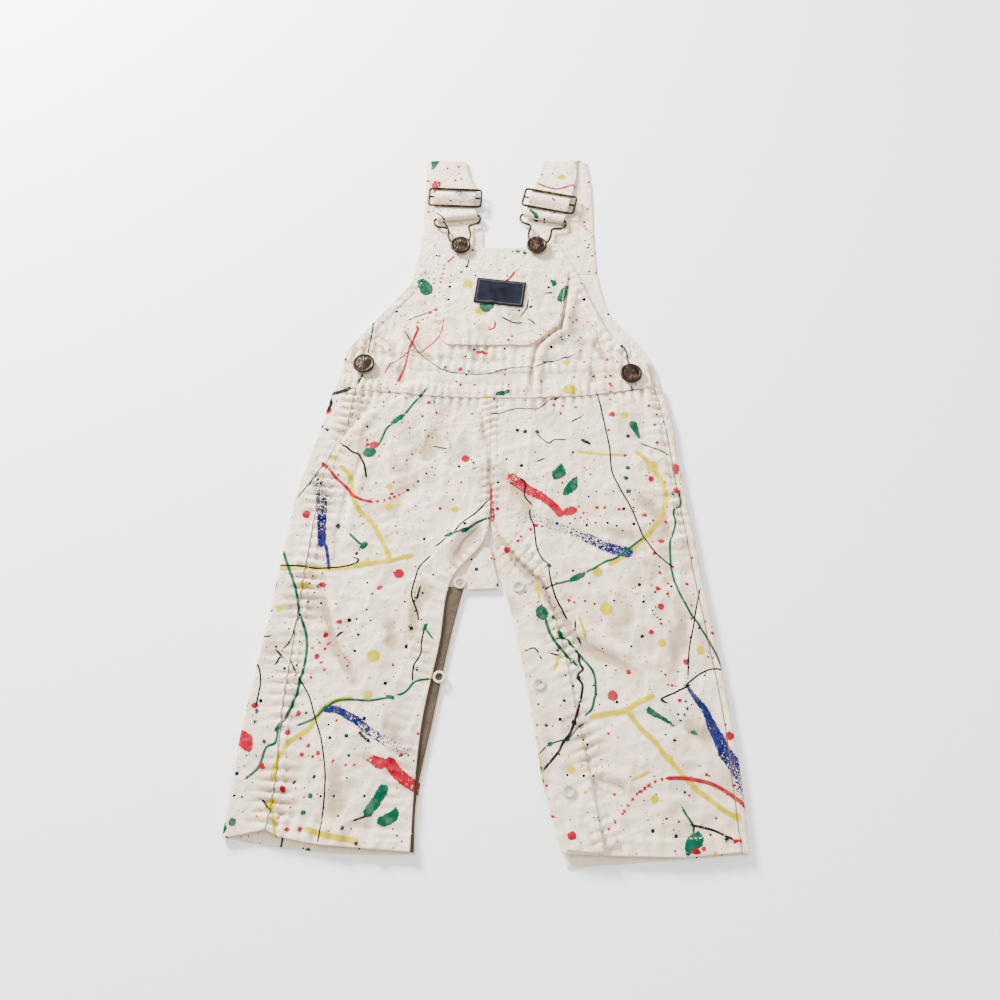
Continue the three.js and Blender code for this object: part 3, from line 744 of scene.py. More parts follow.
ON_WAIST_RIGHT = [
    *dots(Y, 3.2, (55, 71), (-1, 41)),
    spot(Y, 57, 48, 5.5, 4),
    *dots(R, 1.2, (86, 60), (85, 53), (86, 51), (85, 47), (37, 54.5), (91.5, 71)),
    *dots(K, 1.1, (74, 60), (-22, 55)),
    stroke(G, (7, 44.5), (14, 46.5), half=(1.8, 1.6)),
]
ON_RIGHT_HIP = [
    *dots(Y, 3.0, (0, 21.5), (94, 28), (-1, 41)),
    *dots(Y, 4.5, (110.5, -12)),
    *dots(R, 1.2, (45.8, 36), (51.7, 35), (60.6, 34.5), (50, 29.5), (82.3, 16), (114, 20)),
    *dots(R, 1.3, (111, 35), (114.5, 6), (92.6, -3), (72, -42), (77, -42), (86.6, -43)),
    *dots(R, 1.3, (108.3, -51), (116.5, -51.5), (21.8, -62.5), (20, -66), (28.5, -57)),
    *dots(R, 2.2, (85.4, 28.5), (109, -20.6), (124.8, -29.5), (32, -53.5)),
    spot(R, 126, -13, 2.5, 4),
    spot(R, 102.8, -47, 2, 1.4),
    spot(R, 112.6, -65.5, 2.2, 1.6),
    *dots(R, 0.9, (96, -44.5), (61, -49), (65.5, -50.5), (63, -46), (57, -50)),
    *dots(K, 1.5, (20.5, 16.5), (25.5, 15), (95.5, 12)),
    stroke(K, (64.5, 8), (69, 5.5), half=(1.4, 1.0)),
    line(K, (57.5, 22.5), (64, 26.5)),
    line(K, (33.5, -7.5), (38, -5.5)),
    line(K, (34, 13), (41, 6), (45, 8.5), (52.5, 8.5), width=0.8),
    line(K, (104.5, 6), (121, -2), width=0.8),
    *dots(G, 1.7, (34, 15), (94, -12.6), (92.4, -20.4), (93.4, -30)),
    stroke(G, (99.5, 21), (101, 17), (103, 11), half=(3, 1.1)),
    line(K, (3.7, 29), (10.5, 30), (19.5, 33.5), (34.5, 33.5), (41.5, 39.5), (49.5, 41.5), width=0.7),
    # The wedge on the centre seam and the line down the right-hand edge.
    stroke(R, (2.6, -24), (2.8, -38), (3.0, -50), half=(0.5, 2.4)),
    line(G, (126.5, -30), (127, -40), (122, -43.5), (122.5, -53), (120, -61), (118, -66), width=1.2),
    line(
        G, (118, -66), (117.5, -77), (117.8, -86), (119.8, -96.5), (124.3, -107), (130, -119),
        (135.3, -128), (140.4, -139.5), (143.5, -148.5), width=1.2,
    ),
]
# The motif on the right hip: two leaves, a red and a blue stroke, a yellow arc and long drips.
MOTIF = [
    stroke(
        R, (16, -20), (26, -27.7), (35.5, -33.7), (44, -41), (48, -46.3), half=(3.6, 2.5), dry=(0.35, 0),
    ),
    spot(R, 54.4, -44.5, 4.8, 3.4, 15),
    line(K, (22, -20.5), (25.5, -24), (24.6, -32.3), (29, -38.5)),
    patch(G, (49.5, -8.5), (52.6, -17.5), (44.7, -22), (42.9, -16), (45.5, -13.5)),
    patch(G, (59.8, -18.5), (60.2, -24), (58.9, -29), (51, -33.5), (50, -30), (54.2, -22.8)),
    stroke(
        B, (8, -40), (20, -46), (33, -50), (45, -55), (56, -59.5), (67, -64.5), (78, -70.5), (90, -73.5),
        half=(2.6, 3.8), dry=(0.9, 0.25),
    ),
    line(Y, (62, -1), (78, -2.5), (92, -3), width=1.6),
    line(
        Y, (101, -1), (106, -6), (110.5, -12), (115.3, -22), (117, -29), (116.8, -38.5), (113, -49.5),
        (106.8, -57.8), (98, -67), (88, -76), (79, -81.5), width=2.6,
    ),
    *dots(Y, 3.2, (70.5, -87)),
    line(G, (100, -64), (89, -72.5), (82.5, -77.5), (74.7, -80.5), (69, -84), (64, -86.7), width=1.3),
    spot(G, 57.5, -90, 6, 2.2, 25),
    line(G, (52, -92.5), (50, -93), (43, -96), (37.5, -97.5), width=1.2),
    line(
        K, (75.9, 44.5), (78, 34.5), (80.3, 17.3), (82.5, 2), (83, -14.5), (87, -26.5), (94.5, -42),
        (99.6, -59), (103.5, -66), (108, -73.5), (118, -82.5), width=0.9,
    ),
    line(K, (28, -43), (28.3, -48), (30.3, -54), (31.2, -61), (32, -69.5), (35, -77), (39, -81), width=0.9),
    spot(K, 39.8, -82.5, 1.8, 1.4),
    line(K, (39.8, -84), (39.8, -88), (41, -95.5), (43.3, -104), (47, -111.5), (49.7, -117), width=0.9),
]
ON_LEFT_HIP = [
    stroke(B, (-34.8, 40), (-32, 24.4), (-26, -2.6), half=(2.6, 3.0), dry=(0.30, 0.62)),
    stroke(K, (-96, 49), (-104, 46), (-110, 44), (-108, 38), (-110, 32), half=(1.6, 1.2)),
    *dots(R, 2.9, (-110, 32), (-14.6, -5.3), (-118, -46.3)),
    line(G, (-43.1, 48), (-49.3, 40), (-55.9, 30), width=1.4),
    spot(G, -61.4, 24.5, 6.2, 2.3, 40),
    line(G, (-66, 20), (-68.6, 17.5), (-70.5, 12.5), (-73.7, 4.7), (-76, 3), width=1.4),
    spot(G, -79.3, -0.6, 4.6, 4.2),
    spot(R, -76.8, 5.3, 3.2, 2.4, 20),
    *dots(R, 1.6, (-81.3, 5.5), (-40.8, 38)),
    stroke(
        B, (-32.2, 43), (-31.9, 30), (-31.4, 20), (-31.3, 10), (-28.6, 0), (-24.8, -6.5),
        half=(3.4, 3.4), dry=(0.85, 0.8),
    ),
    line(K, (-36, 4), (-28, 2)),
    *dots(K, 0.9, (-63.8, 42.5), (-72, 38.5), (-71.7, 35), (-77.5, 34), (-88.8, 26), (-44.7, 27)),
    *dots(K, 0.9, (-53, 18), (-53, 14), (-42.4, 16), (-40.2, 12), (-72.6, -3.7), (-53.9, -7)),
    *dots(K, 0.9, (-48.6, -25.5), (-40.6, -16.5), (-36.6, -12.4), (-9.4, -8.6), (-82.6, -28)),
    *dots(K, 1.2, (-109, 16.5), (-45.8, -22.6), (-52.4, -29), (-14.3, -53.9)),
    *dots(Y, 2.4, (-64.5, -27), (-64.5, -41.5), (-20.9, -43), (-103.5, -5), (-58, -39)),
    line(
        Y, (-97, -12), (-90.5, -20), (-88, -35), (-82.8, -44.5), (-74.2, -53.3), (-65.6, -69),
        (-61.4, -78), width=2.4,
    ),
    line(
        K, (-99, 6), (-97.4, 4.3), (-95.4, 3.6), (-90.7, -0.6), (-86.6, -1.8), (-84, -6.5), (-82.3, -10),
        (-81.2, -14.7), (-80.3, -19.3), width=1.3,
    ),
    line(
        R, (-109.8, -9.8), (-104.6, -14.7), (-99.9, -20.5), (-95.5, -24.5), (-91.6, -28), (-88.7, -33),
        (-84.5, -35.3), (-76, -37.5), width=1.7,
    ),
    *dots(R, 1.2, (-72, -37.3), (-67.6, -36.6), (-64, -35.3), (-60.9, -33.8), (-57.8, -32.2)),
    *dots(R, 0.9, (-55.2, -31.3)),
    line(K, (-110.3, -11), (-116.8, -22.5), (-124.5, -33.5), width=0.8),
    stroke(
        B, (-114.6, -17), (-113, -24), (-109.8, -31), (-108, -44.5), (-107, -57.8), (-106.4, -66.5),
        half=(4.4, 2.6), dry=(0.7, 0.1),
    ),
    line(B, (-106.4, -66.5), (-103.4, -69), (-100.4, -83.5), width=1.8),
    *dots(K, 1.8, (-96.7, -54.2)),
    line(G, (-88, -61), (-83, -66), (-81, -67.5), width=1.3),
    spot(G, -79, -68.5, 3.1, 2.3, 40),
    line(K, (0.6, -36.4), (-7.4, -45.5), (-13.4, -50.6), (-17.4, -54.4), (-20.3, -58.8), width=1.0),
    line(G, (1.8, -49), (-5.3, -51.7), (-11.3, -56.6), width=1.2),
    spot(G, -14.3, -58.3, 3.4, 1.6, 20),
    line(G, (-17, -59), (-20.4, -60.1), (-22, -61), width=1.0),
    spot(G, -24.4, -61.5, 3.2, 1.5, 25),
    line(G, (-27, -64), (-29.4, -66.5), (-32.4, -68.6), width=1.0),
]
ON_LEFT_LEG = [
    line(
        K, (-131.4, -82), (-117.8, -82.3), (-111, -83.6), (-100.8, -83.6), (-90.7, -82.5), (-84, -81),
        (-81.6, -78.5), (-84.6, -77), width=1.0,
    ),
    line(Y, (-131, -84), (-100, -84.5), (-80, -82), (-60, -79), (-48, -76), width=2.6),
    spot(Y, -115, -95, 3.2, 2.2),
    *dots(Y, 2.4, (-129, -111), (-76, -79.8), (-70.3, -165.6)),
    *dots(Y, 4.0, (-68.6, -141.7)),
    line(
        G, (-130.3, -73), (-126.7, -82), (-121.2, -95), (-118.3, -105), (-116.6, -113.5),
        (-111.9, -124.5), (-109.9, -135), (-110.1, -144), (-111, -151.5), (-112.4, -156),
        (-113, -162.8), (-115, -169.7), (-117.7, -177.4), (-120.5, -182), width=1.5,
    ),
    spot(G, -122.6, -184.5, 3.0, 1.8, 50),
    line(
        G, (-122.8, -187), (-123.3, -193.5), (-128.6, -196), (-130.9, -204.3), (-133, -209),
        (-137.9, -213.3), width=1.3,
    ),
    line(
        K, (-112.3, -156), (-105.8, -166.3), (-101.3, -179), (-96.8, -191), (-94.2, -202.7),
        (-92.6, -213.3), (-92.4, -226), (-92.8, -238), (-94, -248), width=0.8,
    ),
    spot(G, -133.5, -94.5, 1.3, 2.8),
    spot(R, -103.6, -95, 2.6, 1.8),
    *dots(K, 1.0, (-106.2, -96), (-71.5, -102), (-84.3, -147.3)),
    line(K, (-115.1, -112), (-117.1, -118), (-120, -130), (-123.9, -136), width=0.8),
    spot(R, -55.6, -88, 3.6, 3.2),
    spot(R, -67.1, -97.5, 2.2, 1.7, 30),
    *dots(R, 1.8, (-90.9, -120.3), (-103.2, -141.8)),
    spot(R, -99, -128, 1.5, 1.9),
    *dots(R, 1.1, (-102.5, -133), (-97.1, -133.5), (-106.3, -136.7), (-98.9, -136.7)),
    *dots(R, 1.2, (-100.3, -145.4), (-105.9, -154.5), (-98, -150)),
    *dots(K, 1.4, (-84.9, -118.7), (-48.9, -135.3), (-46.4, -123.5)),
    line(K, (-88.8, -127), (-91.6, -129), width=1.2),
    line(K, (-128, -138), (-124.5, -141.5), width=1.1),
    line(K, (-126, -142), (-128, -146), width=1.0),
    line(K, (-118, -146), (-116, -150), width=1.0),
    line(K, (-134.9, -105.3), (-139.6, -115.3), (-141, -125.5), (-140.6, -137), width=0.9),
    *dots(K, 1.5, (-141.8, -143)),
    line(K, (-141, -145), (-137.7, -149), (-136, -158), (-136.4, -163), (-137.2, -171.5), width=0.9),
    line(K, (-140, -129), (-133.6, -128.7), width=0.9),
    line(
        K, (-36.5, -76), (-42.9, -83.5), (-45, -91), (-46.7, -97.8), (-46.9, -103), (-44.1, -110.3),
        (-42.7, -114.5), (-42.3, -118), width=0.9,
    ),
    spot(G, -37.8, -123, 1.6, 2.8, -20),
    line(G, (-36.5, -125.5), (-33.4, -129.7), width=1.0),
    line(K, (-41.9, -96.5), (-43.6, -103.8), width=1.1),
    line(K, (-38.6, -125.5), (-39.8, -133), (-40, -140), (-44, -147.5), (-44.4, -156), width=0.9),
    line(
        Y, (-82, -167.5), (-88.6, -169), (-93.7, -171), (-99.8, -177.3), (-104, -185.3), (-112, -190.3),
        (-117.7, -196), (-122, -206), (-123, -214), width=2.4,
    ),
    *dots(Y, 3.3, (-122.5, -228.5)),
    line(Y, (-121, -233), (-119.6, -238), (-118.3, -244), width=1.6),
    line(Y, (-101, -242), (-90.6, -245), (-72.7, -248.3), width=2.6),
    line(G, (-35, -155.5), (-42.5, -157), (-48, -163.2), (-52, -165), width=1.2),
    spot(G, -57.5, -166.7, 3.4, 1.5, -10),
    line(G, (-61, -167.5), (-70.4, -168.8), (-86.8, -168.4), (-96, -173.5), (-101.3, -179),
         (-110.5, -183), width=1.3),
    stroke(
        B, (-95, -173.7), (-88.3, -174.5), (-81.4, -178), (-75, -181.6), (-69.4, -186.5), (-62, -190.7),
        (-54.2, -194.8), (-44.6, -199.8), half=(2.2, 3.0), dry=(0.05, 0.75),
    ),
    stroke(K, (-74, -188), (-71.5, -190.5), (-68, -193), half=(1.0, 0.8)),
    spot(R, -61.6, -205.2, 4.6, 3.6, -15),
    stroke(R, (-70, -201), (-64, -204), half=(2.2, 2.8), dry=(0.6, 0.1)),
    stroke(R, (-55.5, -205.5), (-51, -211), (-46, -215), (-37, -220.5), half=(3.6, 3.4), dry=(0, 0.3)),
    stroke(G, (-58.9, -220.3), (-62, -226), (-66.6, -232.4), half=(3.3, 3.0)),
    patch(
        G, (-51.2, -229.7), (-49, -232.5), (-50, -237), (-56.5, -240.6), (-60.5, -239.5), (-61.2, -236),
        (-56, -233.2),
    ),
    line(K, (-74.3, -237), (-68.5, -235), width=1.0),
    *dots(R, 1.8, (-116.6, -219.8), (-111.4, -176.2), (-116.9, -187.8), (-130, -206.8)),
    *dots(R, 1.4, (-103.8, -195.3), (-97.8, -199.5), (-104.4, -242), (-112, -242), (-107.2, -200.4)),
    *dots(R, 1.1, (-109, -191), (-88.7, -204.3), (-81, -206.5), (-76.3, -206.3)),
    *dots(K, 1.1, (-107, -176), (-99, -213), (-110.4, -216), (-136.8, -181.2), (-72.3, -249.6)),
    *dots(K, 1.4, (-130.3, -192.6), (-80.6, -241.3)),
    line(K, (-114.7, -246.5), (-115.5, -253), width=1.0),
    line(K, (-127.5, -226), (-124, -230), width=1.0),
    *dots(G, 1.6, (-100.2, -223.7), (-103.6, -232.8), (-100, -252.8)),
]
ON_LEFT_SIDE = [
    patch(R, (-148.5, -184), (-137.5, -189.5), (-138, -199.5), (-148.5, -191.5)),
    spot(R, -138, -171.5, 2.3, 2.0),
    stroke(B, (-147, -173), (-143, -169), half=(3, 2.4), dry=(0.7, 0.7)),
    spot(B, -136.5, -175, 1.1, 2.0),
    spot(G, -143.6, -238, 2.2, 2.7),
    *dots(G, 2.6, (-148.6, -241.5)),
]
ON_RIGHT_LEG = [
    *dots(R, 2.2, (12.9, -72), (121.8, -145), (109, -109.7)),
    *dots(K, 1.4, (7.3, -94.5), (96, -129)),
    patch(G, (31, -111), (34, -109), (38, -112), (38.3, -117), (35, -119), (31, -116)),
    line(G, (37, -119), (38.5, -125), (41, -130.5), (45, -136.5), (49, -141), (55, -147), width=1.6),
    *dots(G, 1.3, (41.5, -117)),
    spot(G, 45.5, -128, 1.8, 3.6, 20),
    line(
        G, (48, -130), (50, -131.5), (54.7, -137.5), (59.5, -143.5), (64.2, -149.5), (66, -155.5),
        (66, -164.5), (64.9, -168), (63.3, -173.7), (59.8, -177), width=1.3,
    ),
    line(
        K, (56.5, -140.3), (57.2, -146.5), (59, -149.5), (55.5, -153), (57, -156.7), (58.3, -160),
        (56.8, -168), (54.3, -176.5), (52.3, -182), (50, -188), (45.5, -193.5), (42.7, -199),
        (34.3, -208.5), width=1.3,
    ),
    *dots(K, 1.7, (56, -155), (52.3, -182)),
    spot(B, 13.7, -123.3, 1.1, 2.3),
    line(K, (24.2, -138.5), (29.8, -137), (33.5, -143.3), width=0.9),
    line(K, (39.8, -140), (43.3, -141.2), width=1.0),
    line(K, (55, -120), (55, -123), width=1.1),
    line(K, (57, -130), (58, -133), width=1.1),
    *dots(Y, 4.2, (74.8, -111.3)),
    *dots(Y, 2.8, (108, -133.3), (131.5, -137.8)),
    line(Y, (58, -118), (61, -129), width=1.6),
    line(Y, (45, -140), (42, -149), width=1.6),
    line(Y, (31, -93), (33, -104), width=1.6),
    *dots(R, 1.3, (51.6, -106), (110, -87.3), (113.8, -101.3), (108.3, -121), (107, -74.3)),
    *dots(R, 1.7, (108, -98), (101.8, -126.3), (86.5, -151.2)),
    *dots(K, 0.8, (104, -96), (106, -100), (104.6, -105), (105.8, -110), (104.2, -115), (106, -117)),
    line(K, (134.5, -98), (130.6, -112.6), (127.8, -124), (124, -139.4), (122.3, -153), width=0.8),
    line(K, (121.5, -158.5), (129.5, -152.5), (136.5, -149.5), (142, -149.5), width=0.9),
    *dots(R, 3.2, (76.2, -165.8)),
    *dots(R, 2.7, (144, -189.5), (48.9, -245.6)),
    line(R, (33.5, -234), (38.9, -235), width=1.2),
    line(
        R, (149.4, -230), (145, -226), (139, -221.3), (130.6, -217), (120.3, -214.6), (112.4, -213.8),
        (105.7, -214), width=2.0,
    ),
    *dots(R, 1.2, (102, -214.7), (98, -216), (94.3, -217.7), (92, -219.4), (89.3, -221.3)),
    *dots(R, 1.1, (87.2, -222.7), (84.5, -225.5), (81.8, -229), (79.2, -232), (73.6, -237.7)),
    *dots(R, 1.0, (70, -241.7)),
    *dots(K, 1.2, (46.8, -169), (36, -183.5), (111, -192.3), (114.6, -221.7), (108, -245.6)),
    line(K, (121.7, -160), (113.3, -164), (104.8, -168), (107.5, -170), width=1.0),
    *dots(K, 1.1, (119.5, -169), (119.8, -173.5), (118, -177.3), (115.6, -180.5)),
    line(G, (57.6, -182.5), (54.8, -184.5), (50.5, -189.5), (48, -191.5), (38, -194.4), (32.3, -199)),
    *dots(G, 1.6, (48, -191.5), (38, -194.4), (31.8, -208), (32.4, -215)),
    stroke(G, (97.3, -175), (101, -177.5), (105, -179.5), (112, -184), half=(2.2, 0.7)),
    spot(G, 122.9, -187.5, 2.4, 1.5, -20),
    line(Y, (63.8, -178), (75.6, -176.3), (83, -175), (91.5, -170), (99.8, -166.3), width=2.8),
    line(
        Y, (84, -175), (92.5, -186.5), (99, -192.5), (104.5, -200.7), (107, -203), (113.5, -211),
        (121, -219.5), (127.5, -224.8), (137, -232.3), (143.5, -235.5), width=2.4,
    ),
    *dots(Y, 2.5, (107, -203), (143.5, -235.5), (50, -209), (97, -225.5)),
    line(Y, (86.6, -214), (93.5, -211), width=1.6),
    line(Y, (30, -200), (32, -212), width=2.4),
    stroke(
        B, (121, -159.5), (125, -166.5), (130.3, -173.5), (133.5, -182), (136.8, -190), (140.6, -200),
        half=(1.0, 4.2), dry=(0, 0.2),
    ),
    stroke(
        B, (140.6, -200), (145.5, -207), (149, -213), (149.6, -222), half=(4.2, 5.0), dry=(0.2, 0.6),
    ),
    stroke(K, (57, -243), (66, -246), (68, -255), half=(3, 2.6), dry=(0.85, 0.85)),
    line(G, (113, -231), (114.7, -234.3), (118, -239.8), (118, -243), width=1.2),
    *dots(K, 0.9, (98.3, -234.5), (103, -236), (110, -237.5), (114, -238.6), (122, -240.7)),
    line(K, (118, -239.8), (127.5, -241.8), (134.5, -244.8), (138.7, -246.8), width=1.2),
    spot(K, 136, -247, 1.6, 1.1),
    patch(
        G, (120.4, -242.4), (123.3, -246), (122.3, -250.5), (118.2, -253.2), (113.3, -256.6),
        (112, -251), (114.5, -246),
    ),
    spot(R, 118.6, -254, 2.4, 1.7),
    *dots(R, 1.4, (123, -252.3), (140.8, -248.5), (144, -248)),
]


def turned_over(marks: Sequence[Mark], across: float = 0.0) -> list[Mark]:
    """The same marks mirrored left to right about X = across, for cloth whose face is down."""
    flipped = []
    for m in marks:
        path = [(2 * across - x, y) for x, y in m.path]
        size = (m.size[0], m.size[1], -m.size[2])
        flipped.append(Mark(m.paint, path, m.half, m.dry, m.shape, size))
    return flipped


@dataclass(frozen=True)
class PaintFields:
    """How a set of points lies about the marks of one paint.

    Fields:
        shape: Distance to the nearest spot, patch or stroke, negative inside.
        across: Place across the nearest fine line, from -1 to 1 on it.
        away: Distance to that line.
    """

    shape: Array
    across: Array
    away: Array


def inside_outline(path: Sequence[Point], x: Array, y: Array) -> Array:
    """Which points lie inside a closed outline."""
    inside = np.zeros(x.shape, dtype=bool)
    for (ax, ay), (bx, by) in zip(path, path[1:]):
        if ay == by:
            continue
        crosses = (ay > y) != (by > y)
        inside ^= crosses & (x < (bx - ax) * (y - ay) / (by - ay) + ax)
    return inside


class Print:
    """The spattered print on one piece, worked out at the piece's own points."""

    REACH = 4.0  # how far past a mark its distance is still worked out

    def __init__(self, marks: Sequence[Mark]) -> None:
        """Keeps the marks that fall on the piece."""
        self.marks = list(marks)

    def fields(self, x: Array, y: Array) -> tuple[dict[Paint, PaintFields], Array]:
        """The fields of every paint.

        Args:
            x: The points' X.
            y: The points' Y.

        Returns:
            Each paint's fields, and how dry the brush was, from 0 to 1.
        """
        found = {
            paint: PaintFields(*(np.full(x.shape, self.REACH) for _ in range(3))) for paint in Paint
        }
        dry = np.zeros(x.shape)
        for mark in self.marks:
            self._add(mark, found[mark.paint], dry, x, y)
        return found, dry

    def _add(self, mark: Mark, fields: PaintFields, dry: Array, x: Array, y: Array) -> None:
        """Adds one mark to its paint's fields."""
        reach = self.REACH + max(*mark.half, *(mark.size[:2] if mark.shape == "spot" else (0,)))
        near = within(mark.path, x, y, reach)
        if not len(near):
            return
        px, py = x[near], y[near]
        if mark.shape == "spot":
            gap = self._spot(mark, px, py)
        elif mark.shape == "patch":
            away, _, _ = nearness(mark.path, px, py)
            gap = np.where(inside_outline(mark.path, px, py), -away, away)
        else:
            away, side, along = nearness(mark.path, px, py)
            share = along / max(path_length(mark.path), 0.01)
            half = mix(mark.half[0], mark.half[1], share)
            if mark.shape == "line":
                closer = away < fields.away[near]
                fields.across[near[closer]] = (side / half)[closer]
                fields.away[near[closer]] = away[closer]
                return
            gap = away - half
            if max(mark.dry) > 0:
                brush = gap < 0.6
                dry[near[brush]] = mix(mark.dry[0], mark.dry[1], share)[brush]
        fields.shape[near] = np.minimum(fields.shape[near], gap)

    @staticmethod
    def _spot(mark: Mark, x: Array, y: Array) -> Array:
        """The distance to an oval drop, negative inside."""
        long, wide, lean = mark.size
        a = math.radians(lean)
        dx, dy = x - mark.path[0][0], y - mark.path[0][1]
        u = dx * math.cos(a) + dy * math.sin(a)
        v = -dx * math.sin(a) + dy * math.cos(a)
        return (np.hypot(u / long, v / wide) - 1) * min(long, wide)


# ---- finishes -------------------------------------------------------------------------------


class Nodes:
    """A material's node tree, with short ways to add and join nodes."""

    def __init__(self, name: str) -> None:
        """Makes a material that holds only a shader and its output."""
        self.material = bpy.data.materials.new(name)
        self.material.use_nodes = True
        self.tree = self.material.node_tree
        self.tree.nodes.clear()
        output = self.tree.nodes.new("ShaderNodeOutputMaterial")
        self.shader = self.tree.nodes.new("ShaderNodeBsdfPrincipled")
        self.tree.links.new(self.shader.outputs[0], output.inputs[0])
        self._place = None

    def add(self, kind: str, **settings: object) -> bpy.types.Node:
        """A new node with its settings."""
        node = self.tree.nodes.new(kind)
        for key, value in settings.items():
            setattr(node, key, value)
        return node

    def feed(self, target: bpy.types.NodeSocket, value: object) -> None:
        """Gives a socket a link or a constant."""
        if isinstance(value, bpy.types.NodeSocket):
            self.tree.links.new(value, target)
        else:
            target.default_value = value

    def place(self) -> bpy.types.NodeSocket:
        """The piece's own coordinates, in metres."""
        if self._place is None:
            self._place = self.add("ShaderNodeTexCoord").outputs["Object"]
        return self._place

    def stretched(self, scale: tuple[float, float, float], turn: float = 0) -> bpy.types.NodeSocket:
        """The piece's coordinates, stretched and turned about Z by degrees."""
        node = self.add("ShaderNodeMapping")
        self.feed(node.inputs["Vector"], self.place())
        node.inputs["Rotation"].default_value = (0, 0, math.radians(turn))
        node.inputs["Scale"].default_value = scale
        return node.outputs[0]

    def math(self, operation: str, a: object, b: object = 0.0, c: object = 0.0) -> bpy.types.NodeSocket:
        """The result of a sum on numbers."""
        node = self.add("ShaderNodeMath", operation=operation)
        for socket, value in zip(node.inputs, (a, b, c)):
            self.feed(socket, value)
        return node.outputs[0]

    def ramp(self, value: object, low: float, high: float, to: tuple = (0, 1)) -> bpy.types.NodeSocket:
        """A smooth step of a value between two limits."""
        node = self.add("ShaderNodeMapRange", interpolation_type="SMOOTHSTEP")
        for name, amount in zip(("Value", "From Min", "From Max", "To Min", "To Max"),
                                (value, low, high, *to)):
            self.feed(node.inputs[name], amount)
        return node.outputs["Result"]

    def noise(self, scale: float, detail: float = 2, vector: object = None) -> bpy.types.NodeSocket:
        """Smooth noise from 0 to 1."""
        node = self.add("ShaderNodeTexNoise")
        self.feed(node.inputs["Vector"], vector or self.place())
        node.inputs["Scale"].default_value = scale
        node.inputs["Detail"].default_value = detail
        return node.outputs["Fac"]

    def blend(self, factor: object, a: object, b: object) -> bpy.types.NodeSocket:
        """A mix of two colours."""
        node = self.add("ShaderNodeMix", data_type="RGBA", clamp_factor=True)
        self.feed(node.inputs[0], factor)
        for socket, colour in zip(node.inputs[6:8], (a, b)):
            self.feed(socket, (*colour, 1.0) if isinstance(colour, tuple) else colour)
        return node.outputs[2]

    def bump(self, height: object, strength: float, distance: float, under: object = None) -> object:
        """A bump normal from a height."""
        node = self.add("ShaderNodeBump")
        node.inputs["Strength"].default_value = strength
        node.inputs["Distance"].default_value = distance
        self.feed(node.inputs["Height"], height)
        if under is not None:
            self.feed(node.inputs["Normal"], under)
        return node.outputs[0]

    def attribute(self, name: str) -> bpy.types.Node:
        """A node that reads the mesh's own attribute."""
        return self.add("ShaderNodeAttribute", attribute_name=name)


